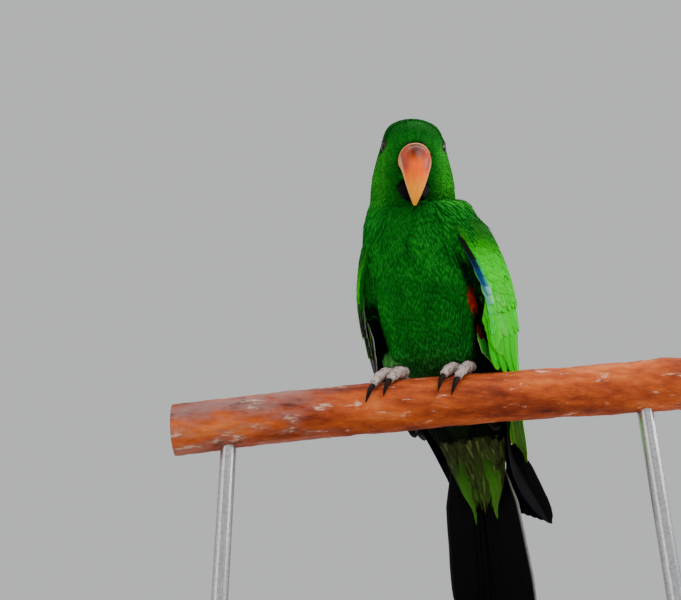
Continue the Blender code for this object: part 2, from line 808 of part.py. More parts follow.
def build_head(frame):
    sections = [head_section(place) for place in spread(HEAD_RINGS, HEAD_ROWS)]
    head = finish_mesh("head", ring_mesh(section_rings(sections, BODY_SIDES)), frame, (0.02, 0.24, 0.02))
    fuse(head, [lid_ring(frame, side) for side in (1, -1)])
    cutters = []
    for side, label in ((1, "left"), (-1, "right")):
        ball(f"eye_{label}", frame, eye_spot(side, 0), EYE_RADIUS, 14, (0.02, 0.01, 0.01))
        cutters.append(ball("socket", frame, eye_spot(side, 0), EYE_RADIUS + GAP, 14))
        pit = head_point(side * NOSTRIL_PLACE[0], NOSTRIL_PLACE[1], NOSTRIL_PLACE[2])
        cutters.append(ball("pit", frame, pit, NOSTRIL_RADIUS, 8))
    grow = GAP / MM
    for name, rows, colour in (
        ("bill_upper", UPPER_BILL_ROWS, (0.9, 0.25, 0.02)),
        ("bill_lower", LOWER_BILL_ROWS, (0.02, 0.018, 0.02)),
    ):
        bill_half(name, frame, rows, 0.0, colour)
        cutters.append(bill_half(name + "_pocket", frame, rows, grow, None))
    cut(head, cutters)
    remove_objects(cutters)
    return head


# Perch and feet
PERCH_SIDES = 20
PERCH_RINGS = 22
SWELL_HEIGHT = 0.35 * MM
SWELL_LENGTH = 21 * MM
SWELL_TURN = 0.6
TOE_RADIUS = 3.7 * MM
TOE_TAPER = 0.78
TOE_KNUCKLE = 0.22 * MM
TOE_STEPS = 7
CLAW_RADIUS = 2.1 * MM
CLAW_SHAPE = (1, 0.86, 0.55, 0.12)
CLAW_ROUTE = ((1.6, 3.3), (12, 4.4), (23, 4.0), (32, 1.9))
TARSUS_SHAPE = (3.6, 4.6, 3.7, 3.5, 4.0)
SKIN = (0.42, 0.38, 0.38)
CLAW_BLACK = (0.03, 0.028, 0.03)
ANKLE_TURN = math.radians(-9)
SOLE_REACH = 0.8 * MM
ANKLE_REACH = 4.6 * MM
TARSUS_TOP = Vector((0, 12, 36)) * MM
THIGHS = {
    "left": ((17, 17, 46, 15), (17.5, 14, 36, 14), (18, 10, 30.5, 9.5), (18, 8, 26, 6.5)),
    "right": ((-17, 8, 46, 15), (-17.5, 3, 36, 14), (-17.5, -4, 28.5, 9.5), (-17.5, -7, 23.5, 6.5)),
}
# Toes of the left foot: start and end along the perch, turn over the perch in degrees, taken from the ankle
TOES = {
    "inner_front": (-4.3, -16, 1, 56),
    "outer_front": (4.3, -8.5, 1, 66),
    "inner_back": (-4.3, 1, -19, -96),
    "outer_back": (4.3, 12.5, -19, -122),
}


def perch_radius(along, turn):
    """Radius of the branch with its knots, and the branch's own slow swelling."""
    swell = math.sin(along / SWELL_LENGTH) * math.cos(2 * turn + SWELL_TURN)
    radius = PERCH_RADIUS + SWELL_HEIGHT * swell
    for centre, direction, size in PERCH_KNOTS:
        away = math.exp(-((along - centre) / KNOT_SPREAD) ** 2)
        facing = max(0.0, math.cos(turn - math.radians(direction)))
        radius += size * away * facing ** 2
    return radius


def perch_mesh(name, frame, grow, colour):
    rings = []
    for i in range(PERCH_RINGS + 1):
        along = PERCH_LENGTH * (i / PERCH_RINGS - 0.5)
        sag = -PERCH_BOW * along * along
        ring = []
        for k in range(PERCH_SIDES):
            turn = math.tau * k / PERCH_SIDES
            radius = perch_radius(along, turn) + grow
            ring.append((along, radius * math.cos(turn), sag + radius * math.sin(turn)))
        rings.append([Vector(point) for point in ring])
    return finish_mesh(name, ring_mesh(rings), frame, colour, 0.8)


def perch_point(along, turn, reach):
    """A place over the branch; the turn runs from its top towards the bird's front."""
    return Vector((along, -reach * math.sin(turn), reach * math.cos(turn)))


def tube(name, frame, points, radii, sides, colour, up=(1, 0, 0), flatness=1.0):
    return finish_mesh(name, ring_mesh(tube_rings(points, radii, sides, up, flatness)), frame, colour, 0.5)


def tarsus_mesh(name, frame, label, grow, colour):
    ankle = FOOT_PLACES[label]
    sole = perch_point(ankle, ANKLE_TURN, PERCH_RADIUS + SOLE_REACH)
    base = perch_point(ankle, ANKLE_TURN, PERCH_RADIUS + ANKLE_REACH)
    top = Vector((ankle, 0, 0)) + TARSUS_TOP
    route = [sole, base, base.lerp(top, 0.4), base.lerp(top, 0.75), top + (top - base).normalized() * grow]
    return tube(name, frame, route, [size * MM + grow for size in TARSUS_SHAPE], 10, colour)


def toe_pair(names, frame, place, grow, colours):
    """A toe along the branch's curve and its claw beyond it; grow gives the room that they need."""
    start, shift, first, last = place
    points = []
    radii = []
    for step in range(TOE_STEPS + 1):
        t = step / TOE_STEPS
        radius = TOE_RADIUS * (1 - (1 - TOE_TAPER) * t)
        knuckle = TOE_KNUCKLE * math.cos(t * math.tau * 3)
        turn = math.radians(first + (last - first) * t)
        points.append(perch_point(start + shift * t, turn, PERCH_RADIUS + 2 * GAP + radius))
        radii.append(radius - GAP + knuckle + grow)
    heading = math.copysign(1.0, last - first)
    ends = []
    for degrees, reach in CLAW_ROUTE:
        turn = math.radians(last + heading * degrees)
        ends.append(perch_point(start + shift * (1 + 0.012 * degrees), turn, PERCH_RADIUS + reach * MM))
    return [
        tube(names[0], frame, points, radii, 8, colours[0]),
        tube(names[1], frame, ends, [CLAW_RADIUS * share + grow for share in CLAW_SHAPE], 8, colours[1]),
    ]


def build_foot(frame, label):
    """Tarsus, four toes and their claws, clasping the branch two before and two behind."""
    mirror = 1 if label == "left" else -1
    tarsus_mesh(f"tarsus_{label}", frame, label, 0.0, SKIN)
    pocket = tarsus_mesh("pocket", frame, label, GAP, None)
    spaces = []
    for toe, (start, end, first, last) in TOES.items():
        place = (FOOT_PLACES[label] + start * MM * mirror, (end - start) * MM, first, last)
        names = (f"toe_{label}_{toe}", f"claw_{label}_{toe}")
        pair = toe_pair(names, frame, place, 0.0, (SKIN, CLAW_BLACK))
        cut(pair[0], [pocket])
        spaces += toe_pair(("space", "space"), frame, place, GAP, (None, None))
    return pocket, spaces


def thigh_mesh(name, frame, label, grow, colour):
    rows = THIGHS[label]
    points = []
    radii = []
    for place in spread(6, rows):
        x, y, z, radius = read_rows(rows, place)
        points.append(Vector((x, y, z)) * MM)
        radii.append(radius * MM + grow)
    return finish_mesh(name, ring_mesh(tube_rings(points, radii, 14, (1, 0, 0))), frame, colour)


def rod(name, place, radius, low, high, colour):
    bm = bmesh.new()
    middle = Matrix.Translation((place, 0, (low + high) / 2))
    bmesh.ops.create_cone(bm, cap_ends=True, segments=24, radius1=radius, radius2=radius,
                          depth=high - low, matrix=middle)
    return finish_mesh(name, bm, None, colour, 0.35)


def build_stand(perch):
    bm = bmesh.new()
    size = Matrix.Diagonal((BASE_LENGTH, BASE_DEPTH, BASE_HEIGHT, 1))
    bmesh.ops.create_cube(bm, size=1, matrix=Matrix.Translation((0, 0, BASE_HEIGHT / 2)) @ size)
    top = [edge for edge in bm.edges if all(vert.co.z > BASE_HEIGHT / 2 for vert in edge.verts)]
    corners = [edge for edge in bm.edges if abs(edge.verts[0].co.z - edge.verts[1].co.z) > BASE_HEIGHT / 2]
    bmesh.ops.bevel(bm, geom=top + corners, offset=BASE_BEVEL, segments=3, affect="EDGES", profile=0.5)
    base = finish_mesh("stand_base", bm, None, (0.03, 0.022, 0.018), 0.4)
    holes = []
    for side, label in ((-1, "left"), (1, "right")):
        place = side * ROD_OFFSET
        under = PERCH_HEIGHT + math.tan(PERCH_TILT) * place - PERCH_BOW * place * place
        under -= PERCH_RADIUS / math.cos(PERCH_TILT)
        rod(f"stand_rod_{label}", place, ROD_RADIUS, BASE_HEIGHT - ROD_SOCKET + GAP, under + ROD_SOCKET,
            (0.35, 0.34, 0.32))
        room = (BASE_HEIGHT - ROD_SOCKET, under + ROD_SOCKET + GAP)
        holes.append(rod("hole", place, ROD_RADIUS + GAP, *room, None))
    cut(base, holes)
    cut(perch, holes)
    remove_objects(holes)


def frame_empty(name, location, rotation):
    made = bpy.data.objects.new(name, None)
    made.location = location
    made.rotation_euler = Euler(rotation)
    bpy.context.scene.collection.objects.link(made)
    return made


def main():
    for item in list(bpy.data.objects):
        bpy.data.objects.remove(item)

    bird = frame_empty("bird_frame", (0, 0, PERCH_HEIGHT), (0, 0, BODY_YAW))
    branch = frame_empty("perch_frame", (0, 0, PERCH_HEIGHT), (0, -PERCH_TILT, 0))

    torso = finish_mesh("torso", ring_mesh(torso_rings(0.0)), bird, (0.012, 0.16, 0.015))
    low = torso_section(len(TORSO_ROWS) - 1)
    high = head_section(0)
    edge = GAP / (high["centre"] - low["centre"]).length
    steps = [edge + (1 - 2 * edge) * i / NECK_RINGS for i in range(NECK_RINGS + 1)]
    sections = [blend_sections(low, high, step) for step in steps]
    finish_mesh("neck", ring_mesh(section_rings(sections, BODY_SIDES)), bird, (0.015, 0.2, 0.015))
    build_head(bird)
    wings = build_wing(bird, 1, "left") + build_wing(bird, -1, "right")
    build_tail(bird)
    build_uppertail(bird)
    build_undertail(bird)

    perch = perch_mesh("perch", branch, 0.0, (0.28, 0.09, 0.035))
    build_stand(perch)
    seat = perch_mesh("seat", branch, GAP, None)
    pockets = [seat]
    for label in ("left", "right"):
        pocket, spaces = build_foot(branch, label)
        thigh = thigh_mesh(f"thigh_{label}", bird, label, 0.0, (0.012, 0.14, 0.02))
        cut(thigh, [seat, pocket])
        pockets += [pocket, thigh_mesh("pocket", bird, label, GAP, None)]
        pockets += spaces
    pockets += [tail_block("pocket", bird, rows, GAP / MM, 6, None) for rows in (TAIL_ROOT_ROWS, RUMP_ROWS)]
    cut(torso, pockets)
    body = finish_mesh("body", ring_mesh(torso_rings(GAP)), bird)
    for wing in wings:
        cut(wing, [body, seat])
    remove_objects(pockets + [body])


main()
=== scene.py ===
# %% [markdown]
# A male eclectus parrot grips a cut length of branch on a plain display stand.
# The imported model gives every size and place. This lesson dresses it: a skin with a coat of small
# feathers, long feathers for wings and tail, horn, eyes, scaly feet, bark and the stand's finish.

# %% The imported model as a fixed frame
import math

import bpy
import numpy as np
from mathutils import Matrix, Vector, noise
from mathutils.bvhtree import BVHTree


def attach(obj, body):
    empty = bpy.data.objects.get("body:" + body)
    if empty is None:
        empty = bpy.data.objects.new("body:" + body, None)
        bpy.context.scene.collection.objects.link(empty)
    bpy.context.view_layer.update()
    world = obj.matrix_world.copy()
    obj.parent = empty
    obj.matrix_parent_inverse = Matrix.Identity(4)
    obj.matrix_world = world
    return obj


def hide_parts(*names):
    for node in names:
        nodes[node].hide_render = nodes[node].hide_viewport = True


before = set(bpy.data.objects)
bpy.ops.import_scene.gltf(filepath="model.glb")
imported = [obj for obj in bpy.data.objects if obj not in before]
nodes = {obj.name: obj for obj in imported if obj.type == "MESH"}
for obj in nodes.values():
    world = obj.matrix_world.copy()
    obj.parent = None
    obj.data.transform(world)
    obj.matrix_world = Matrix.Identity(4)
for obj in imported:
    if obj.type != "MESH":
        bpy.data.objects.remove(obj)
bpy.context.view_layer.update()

print("nodes in the frame:", len(nodes))

# %% [markdown]
# The bird is built in its own frame: the origin is on the branch's axis, it faces -Y and its left
# is +X. The frame is turned 25 degrees on the branch. The head has a frame of its own between the
# eyes. All rows and depths below are in millimetres, as in the part's source.

# %% The bird's frame and the head's frame
MM = 0.001
SIDES = ((1, "left"), (-1, "right"))
PERCH_HEIGHT = 178 * MM
PERCH_TILT = math.radians(5.2)
BODY_YAW = math.radians(-25)
BODY_LEAN = math.radians(16)
HEAD_YAW = math.radians(23.5)
HEAD_ROLL = math.radians(2.5)
HEAD_BOW = math.radians(34)
EYE_MIDDLE = Vector((4.2, -33.5, 154.5))

BIRD = (
    Matrix.Translation((0, 0, PERCH_HEIGHT))
    @ Matrix.Rotation(BODY_YAW, 4, "Z")
    @ Matrix.Diagonal((MM, MM, MM, 1))
)
PERCH = (
    Matrix.Translation((0, 0, PERCH_HEIGHT))
    @ Matrix.Rotation(-PERCH_TILT, 4, "Y")
    @ Matrix.Diagonal((MM, MM, MM, 1))
)
HEAD = BIRD @ Matrix.Translation(EYE_MIDDLE) @ Matrix.Rotation(HEAD_YAW, 4, "Z") @ Matrix((
    (1, 0, 0, 0),
    (0, -math.cos(HEAD_BOW), -math.sin(HEAD_BOW), 0),
    (0, -math.sin(HEAD_BOW), math.cos(HEAD_BOW), 0),
    (0, 0, 0, 1),
)) @ Matrix.Rotation(HEAD_ROLL, 4, "Y")


def in_frame(points, matrix):
    """World points as millimetres in a frame."""
    inverse = np.array(matrix.inverted())
    return points @ inverse[:3, :3].T + inverse[:3, 3]


def new_object(name, data):
    made = bpy.data.objects.new(name, data)
    bpy.context.scene.collection.objects.link(made)
    return made


# %% [markdown]
# The photo was taken from below, so the camera sits just over the floor and looks up.
# Its lens gives the photo's field of view over a frame 681 pixels wide.

# %% Camera
FRAME_WIDTH = 681
FOCAL_PIXELS = 860
CAMERA_PITCH = math.radians(26)
CAMERA_PLACE = (-0.0555, -0.4678, 0.0148)

camera_data = bpy.data.cameras.new("camera")
camera_data.sensor_width = 36
camera_data.lens = camera_data.sensor_width * FOCAL_PIXELS / FRAME_WIDTH
camera = new_object("camera", camera_data)
camera.location = CAMERA_PLACE
camera.rotation_euler = (math.radians(90) + CAMERA_PITCH, 0, 0)
bpy.context.scene.camera = camera

# %% [markdown]
# Soft daylight came from above, from the front and more from the bird's left. Four area lights and a
# pale world stand for it, over a plain pale floor.

# %% Light and floor
LIGHTS = {
    "key": ((0.55, -1.1, 1.5), 26, 1.1),
    "side": ((1.5, -0.25, 0.9), 14, 0.8),
    "fill": ((-1.4, -0.9, 0.7), 7, 1.4),
    "top": ((0.1, 0.5, 1.7), 12, 1.2),
}
LIGHT_AIM = Vector((0, 0, 0.22))
WORLD_COLOUR = (0.78, 0.79, 0.80, 1)
WORLD_STRENGTH = 0.75
FLOOR_COLOUR = (0.72, 0.72, 0.71, 1)
FLOOR_SIZE = 9

for name, (place, power, size) in LIGHTS.items():
    light_data = bpy.data.lights.new(name, "AREA")
    light_data.energy = power
    light_data.size = size
    light = new_object(name, light_data)
    light.location = place
    light.rotation_euler = (LIGHT_AIM - light.location).to_track_quat("-Z", "Y").to_euler()

world = bpy.data.worlds.new("studio")
world.use_nodes = True
background = world.node_tree.nodes["Background"].inputs
background["Color"].default_value = WORLD_COLOUR
background["Strength"].default_value = WORLD_STRENGTH
bpy.context.scene.world = world


def new_material(name, roughness, specular, coat=0.0, coat_roughness=0.03):
    """A Principled material whose even values are set on its own sockets."""
    made = bpy.data.materials.new(name)
    made.use_nodes = True
    shader = made.node_tree.nodes["Principled BSDF"]
    shader.inputs["Roughness"].default_value = roughness
    shader.inputs["Specular IOR Level"].default_value = specular
    shader.inputs["Coat Weight"].default_value = coat
    shader.inputs["Coat Roughness"].default_value = coat_roughness
    return made, made.node_tree, shader


bpy.ops.mesh.primitive_grid_add(x_subdivisions=4, y_subdivisions=4, size=FLOOR_SIZE)
floor = bpy.context.object
floor.name = "floor"
floor_material, _, floor_shader = new_material("floor_paint", 0.8, 0.2)
floor_shader.inputs["Base Color"].default_value = FLOOR_COLOUR
floor.data.materials.append(floor_material)

# %% [markdown]
# A few helpers come first: they select pieces, apply a modifier, run an edit on a whole mesh, hand a
# finished piece to the frame and write maps and colours. Operators act on all that is selected, so
# everything is deselected first.

# %% Helpers for pieces


def select_only(*objects):
    bpy.ops.object.select_all(action="DESELECT")
    for item in objects:
        item.select_set(True)
    bpy.context.view_layer.objects.active = objects[0]


def apply_modifier(piece, kind, **settings):
    select_only(piece)
    modifier = piece.modifiers.new("step", kind)
    for key, value in settings.items():
        setattr(modifier, key, value)
    bpy.ops.object.modifier_apply(modifier=modifier.name)


def edit_all(piece, operator, **settings):
    """Run one operator in edit mode with the whole mesh selected."""
    select_only(piece)
    bpy.ops.object.mode_set(mode="EDIT")
    bpy.ops.mesh.select_all(action="SELECT")
    operator(**settings)
    bpy.ops.object.mode_set(mode="OBJECT")


def fix_normals(piece):
    edit_all(piece, bpy.ops.mesh.normals_make_consistent, inside=False)


def hand_over(piece, slot, *replaced):
    """Every piece rides on the one body, and the nodes it stands for are hidden; slot is not used."""
    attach(piece, "root")
    if replaced:
        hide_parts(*replaced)


def add_point_map(mesh, name, values):
    """A UV map from one pair of values for each vertex."""
    corner = np.zeros(len(mesh.loops), dtype=np.int32)
    mesh.loops.foreach_get("vertex_index", corner)
    layer = mesh.uv_layers.new(name=name)
    layer.data.foreach_set("uv", values[corner].astype(np.float32).ravel())


def add_point_colour(mesh, values):
    """A colour attribute named tint from linear colours: one for all, or one for each vertex."""
    layer = mesh.color_attributes.new("tint", "FLOAT_COLOR", "POINT")
    full = np.ones((len(mesh.vertices), 4), dtype=np.float32)
    full[:, :3] = values
    layer.data.foreach_set("color", full.ravel())


def linear(red, green, blue):
    """A colour from 0 to 255 as linear light."""
    parts = np.array((red, green, blue)) / 255.0
    return np.where(parts <= 0.04045, parts / 12.92, ((parts + 0.055) / 1.055) ** 2.4)


def smooth_step(low, high, value):
    share = np.clip((value - low) / (high - low), 0.0, 1.0)
    return share * share * (3 - 2 * share)


# %% [markdown]
# Every finish is made of the same few steps: a noise or a pattern, its values spread over a new range,
# the piece's own colour shaded by them, and a bump.

# %% Helpers for finishes


def add_node(tree, kind, inputs=None, **settings):
    """Add a shader node and give back its outputs; an input is a socket to link or a plain value."""
    node = tree.nodes.new("ShaderNode" + kind)
    for key, value in settings.items():
        setattr(node, key, value)
    for slot, value in (inputs or {}).items():
        if isinstance(value, bpy.types.NodeSocket):
            tree.links.new(value, node.inputs[slot])
        else:
            node.inputs[slot].default_value = value
    return node.outputs


def math_node(tree, operation, *values):
    return add_node(tree, "Math", dict(enumerate(values)), operation=operation)[0]


def remap(tree, value, low, high, out_low, out_high):
    limits = {"Value": value, "From Min": low, "From Max": high, "To Min": out_low, "To Max": out_high}
    return add_node(tree, "MapRange", limits)["Result"]


def object_place(tree):
    return add_node(tree, "TexCoord")["Object"]


def noise_value(tree, place, scale, detail=2.0, rough=0.5, distortion=0.0):
    values = {"Vector": place, "Scale": scale, "Detail": detail}
    values.update({"Roughness": rough, "Distortion": distortion})
    return add_node(tree, "TexNoise", values)["Fac"]


def shaded_tint(tree, shade):
    """The attribute tint, made lighter and darker by a value."""
    tint = add_node(tree, "Attribute", attribute_name="tint")["Color"]
    return add_node(tree, "VectorMath", {0: tint, "Scale": shade}, operation="SCALE")["Vector"]


def ramp(tree, value, stops):
    node = tree.nodes.new("ShaderNodeValToRGB")
    elements = node.color_ramp.elements
    while len(elements) < len(stops):
        elements.new(0.5)
    for element, (place, colour) in zip(elements, stops):
        element.position = place
        element.color = (*colour, 1)
    tree.links.new(value, node.inputs["Fac"])
    return node.outputs["Color"]


def mix_colour(tree, share, first, second):
    """Mix a linked colour with a plain one."""
    return add_node(tree, "Mix", {0: share, 6: first, 7: (*second, 1)}, data_type="RGBA")[2]


def dress(tree, shader, colour, height=None, relief=0.0, depth=0.0):
    """Link a colour and a bump, whose depth is in millimetres, to the shader."""
    tree.links.new(colour, shader.inputs["Base Color"])
    if height is not None:
        bump = add_node(tree, "Bump", {"Height": height, "Strength": relief, "Distance": depth * MM})
        tree.links.new(bump["Normal"], shader.inputs["Normal"])


# %% [markdown]
# Feathers get their look from their barbs. One node group draws them from the feather's own map,
# where U runs across and V from root to tip: slanted fine lines and long soft streaks.

# %% Node group for barbs
barbs = bpy.data.node_groups.new("barbs", "ShaderNodeTree")
for label, kind in (("Map", "Vector"), ("Count", "Float"), ("Slant", "Float")):
    barbs.interface.new_socket(name=label, in_out="INPUT", socket_type="NodeSocket" + kind)
for label in ("Height", "Shade"):
    barbs.interface.new_socket(name=label, in_out="OUTPUT", socket_type="NodeSocketFloat")
barbs_in = barbs.nodes.new("NodeGroupInput").outputs
barbs_out = barbs.nodes.new("NodeGroupOutput").inputs
barb_parts = add_node(barbs, "SeparateXYZ", {0: barbs_in["Map"]})
barb_away = math_node(barbs, "ABSOLUTE", math_node(barbs, "SUBTRACT", barb_parts["X"], 0.5))
barb_run = math_node(barbs, "MULTIPLY", barb_parts["Y"], barbs_in["Count"])
barb_slant = math_node(barbs, "MULTIPLY", barb_away, barbs_in["Slant"])
barb_turn = math_node(barbs, "MULTIPLY", math_node(barbs, "SUBTRACT", barb_run, barb_slant), math.tau)
barb_wave = math_node(barbs, "MULTIPLY_ADD", math_node(barbs, "SINE", barb_turn), 0.5, 0.5)
barb_streak = math_node(barbs, "MULTIPLY", noise_value(barbs, object_place(barbs), 420.0), 0.65)
barbs.links.new(math_node(barbs, "MULTIPLY_ADD", barb_wave, 0.35, barb_streak), barbs_out["Shade"])
barbs.links.new(barb_wave, barbs_out["Height"])

# %% [markdown]
# The body feathers, the wing feathers and the black flight feathers share that group. Each reads its
# colour from the attribute tint, which the coat writes feather by feather, and shades it by the barbs.

# %% Feather materials
BARB_DEPTH = 0.2


def feather_material(name, count, slant, roughness, specular, contrast, relief):
    """Contrast is how far the barbs and streaks lighten and darken the colour."""
    made, tree, shader = new_material(name, roughness, specular)
    vane_map = add_node(tree, "UVMap", uv_map="Vane")["UV"]
    lines = add_node(tree, "Group", {"Map": vane_map, "Count": count, "Slant": slant}, node_tree=barbs)
    shade = remap(tree, lines["Shade"], 0.2, 0.8, 1 - contrast, 1 + contrast)
    dress(tree, shader, shaded_tint(tree, shade), lines["Height"], relief, BARB_DEPTH)
    return made


down_material = feather_material("body_feathers", 14, 6, 0.75, 0.04, 0.14, 0.2)
covert_material = feather_material("covert_feathers", 26, 10, 0.65, 0.04, 0.22, 0.3)
flight_material = feather_material("flight_feathers", 90, 26, 0.5, 0.07, 0.25, 0.3)

# %% [markdown]
# The skin is made from copies of the flesh nodes: torso, neck, head, thighs and the smooth part of
# each wing. A voxel remesh closes the thin seams between them, a smooth pass rounds what is left,
# and every point then sinks by the depth of the coat that will cover it.

# %% Skin
FLESH = (
    "torso", "neck", "head", "thigh_left", "thigh_right", "wing_left_shoulder", "wing_right_shoulder",
)
SKIN_VOXEL = 1.15 * MM


def read_rows(rows, place):
    """Read one row at a fractional place on a smooth curve through all rows."""
    last = len(rows) - 1
    place = min(max(place, 0.0), float(last))
    low = min(int(place), last - 1)
    t = place - low
    before, start, end, after = rows[max(low - 1, 0)], rows[low], rows[low + 1], rows[min(low + 2, last)]
    result = []
    for a, b, c, d in zip(before, start, end, after):
        bend = 2 * a - 5 * b + 4 * c - d
        twist = -a + 3 * b - 3 * c + d
        result.append(0.5 * (2 * b + (c - a) * t + bend * t * t + twist * t ** 3))
    return result


def outline_point(row, angle, side=1):
    """Point on a body outline: height, sideways, back shift, half width, front and back depth."""
    height, sideways, shift, width, front, back = row
    depth = back if math.sin(angle) > 0 else front
    lean = depth * math.sin(angle)
    return Vector((
        side * sideways + width * math.cos(angle),
        shift + lean * math.cos(BODY_LEAN),
        height + lean * math.sin(BODY_LEAN),
    ))


def loft(name, rings):
    """A tube through rings of world points, with flat ends."""
    count = len(rings[0])
    points = [tuple(point) for ring in rings for point in ring]
    faces = []
    for low in range(0, len(points) - count, count):
        for k in range(count):
            j = (k + 1) % count
            faces.append((low + k, low + j, low + count + j, low + count + k))
    faces.append(tuple(reversed(range(count))))
    faces.append(tuple(range(len(points) - count, len(points))))
    mesh = bpy.data.meshes.new(name)
    mesh.from_pydata(points, [], faces)
    return new_object(name, mesh)


# Core of the feathers under the tail: height, sideways, back shift, half width, front, back
UNDERTAIL_ROWS = (
    (-6, 3, 56, 22, 15, 12),
    (-12.3, 3, 60.2, 19.6, 13.8, 8.0),
    (-24, 3, 65.5, 16.5, 9, 5.6),
    (-36, 3, 70.5, 12, 5.5, 3.8),
    (-47, 3, 74.5, 6.5, 2.6, 2.4),
    (-62, 3, 79, 5, 2, 1.2),
)
CORE_RINGS = 13
CORE_SIDES = 24
CORE_LAST_ROW = 4.0

copies = [new_object(name + "_flesh", nodes[name].data.copy()) for name in FLESH]
core = []
for i in range(CORE_RINGS):
    row = read_rows(UNDERTAIL_ROWS, i * CORE_LAST_ROW / (CORE_RINGS - 1))
    core.append([BIRD @ outline_point(row, math.tau * k / CORE_SIDES) for k in range(CORE_SIDES)])
copies.append(loft("undertail_flesh", core))
fix_normals(copies[-1])
select_only(*copies)
bpy.ops.object.join()
skin = bpy.context.object
skin.name = "skin"
skin.data.materials.clear()
apply_modifier(skin, "WELD", merge_threshold=0.00001)
apply_modifier(skin, "REMESH", mode="VOXEL", voxel_size=SKIN_VOXEL)
apply_modifier(skin, "SMOOTH", factor=0.5, iterations=7)
print("skin faces:", len(skin.data.polygons))

# %% [markdown]
# Each point of the skin belongs to the flesh node that lies nearest. That decides how deep the coat is
# there: thin on the face, deeper on the body. The skin sinks by that depth, so the tips of the
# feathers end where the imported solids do.

# %% Regions of the skin and the depth of the coat
REGIONS = ("body", "neck", "head", "thigh", "wing", "undertail")
REGION_OF = {
    "torso": 0, "neck": 1, "head": 2, "thigh_left": 3, "thigh_right": 3,
    "wing_left_shoulder": 4, "wing_right_shoulder": 4, "undertail_coverts": 5,
}
COAT_DEPTH = np.array((1.3, 1.2, 0.9, 1.2, 1.2, 0.8)) * MM
FACE_DEPTH = 0.45 * MM
REGION_REACH = 6 * MM


def keep_largest_shell(piece):
    """Drop the closed voids that the remesh leaves inside."""
    edit_all(piece, bpy.ops.mesh.separate, type="LOOSE")
    *spares, largest = sorted(bpy.context.selected_objects, key=lambda item: len(item.data.vertices))
    for spare in spares:
        bpy.data.objects.remove(spare)
    return largest


def vertex_arrays(mesh):
    points = np.zeros(len(mesh.vertices) * 3, dtype=np.float32)
    normals = points.copy()
    mesh.vertices.foreach_get("co", points)
    mesh.vertices.foreach_get("normal", normals)
    return points.reshape(-1, 3).astype(float), normals.reshape(-1, 3).astype(float)


def spread_values(values, pairs, rounds):
    """Average a value with its neighbours along the mesh edges."""
    for _ in range(rounds):
        total = values.copy()
        count = np.ones(len(values))
        np.add.at(total, pairs[:, 0], values[pairs[:, 1]])
        np.add.at(total, pairs[:, 1], values[pairs[:, 0]])
        np.add.at(count, pairs.ravel(), 1)
        values = total / (count if values.ndim == 1 else count[:, None])
    return values


def face_share(head_points):
    """1 on the face and 0 from the ears back."""
    return smooth_step(-6, 12, head_points[:, 1])


skin = keep_largest_shell(skin)
skin.name = "skin"
skin_points, skin_normals = vertex_arrays(skin.data)
nearest = np.full(len(skin_points), REGION_REACH)
region = np.zeros(len(skin_points), dtype=int)
for name, index in REGION_OF.items():
    mesh = nodes[name].data
    corners_of = [face.vertices for face in mesh.polygons]
    flesh_tree = BVHTree.FromPolygons([vertex.co for vertex in mesh.vertices], corners_of)
    for i, point in enumerate(skin_points):
        found = flesh_tree.find_nearest(point, nearest[i])
        if found[0] is not None and found[3] < nearest[i]:
            nearest[i] = found[3]
            region[i] = index
print("points in each region:", dict(zip(REGIONS, np.bincount(region, minlength=6).tolist())))

pairs = np.array([edge.vertices[:] for edge in skin.data.edges])
depth = COAT_DEPTH[region]
face = face_share(in_frame(skin_points, HEAD)) * (region == 2)
depth = spread_values(depth * (1 - face) + FACE_DEPTH * face, pairs, 6)
skin_points = skin_points - skin_normals * depth[:, None]
skin_points = spread_values(skin_points, pairs, 2)
skin.data.vertices.foreach_set("co", skin_points.astype(np.float32).ravel())
skin.data.update()

# %% [markdown]
# The skin is unwrapped once, by its own shape. Each feather that grows on it will take a small patch
# of this map, at the place of its root.

# %% Unwrap of the skin
BAKE_MAP = "OFBake"
BAKE_PATCH = 0.003

apply_modifier(skin, "TRIANGULATE")
edit_all(skin, bpy.ops.uv.smart_project, angle_limit=math.radians(66), island_margin=0.002)
skin.data.uv_layers[0].name = BAKE_MAP
corners = np.zeros(len(skin.data.polygons) * 3, dtype=np.int32)
skin.data.loops.foreach_get("vertex_index", corners)
corners = corners.reshape(-1, 3)
corner_map = np.zeros(len(corners) * 6, dtype=np.float32)
skin.data.uv_layers[0].data.foreach_get("uv", corner_map)
corner_map = corner_map.reshape(-1, 3, 2)
skin_points, skin_normals = vertex_arrays(skin.data)
skin_tree = BVHTree.FromPolygons(skin_points.tolist(), corners.tolist())
print("skin triangles:", len(corners))

# %% [markdown]
# The bird's greens are not one colour. The forehead is dark, the cheeks lighter, the breast deep, the
# belly cooler and the wings yellow green, partly their own colour and partly painted light. One function
# gives the colour of any place, with its painted shadows and painted light, and skin and coat both use
# it.

# %% Colours of the plumage
FOREHEAD = linear(8, 84, 12)
CHEEK = linear(40, 142, 30)
THROAT = linear(16, 104, 20)
BREAST = linear(14, 104, 22)
BELLY = linear(54, 118, 50)
MANTLE = linear(14, 122, 14)
SHOULDER = linear(2, 84, 2)
# Partly the wings' own yellow green and partly painted light: much lighter than the body because the
# wings' sides catch the light
WING = linear(22, 196, 0)
VENT = linear(16, 34, 8)
FLANK_RED = linear(176, 34, 8)
# Near black for painted shadow where the wings stand off the body
SLIT_SHADOW_BLACK = linear(3, 10, 4)


def blend(first, second, share):
    return first * (1 - share[:, None]) + second * share[:, None]


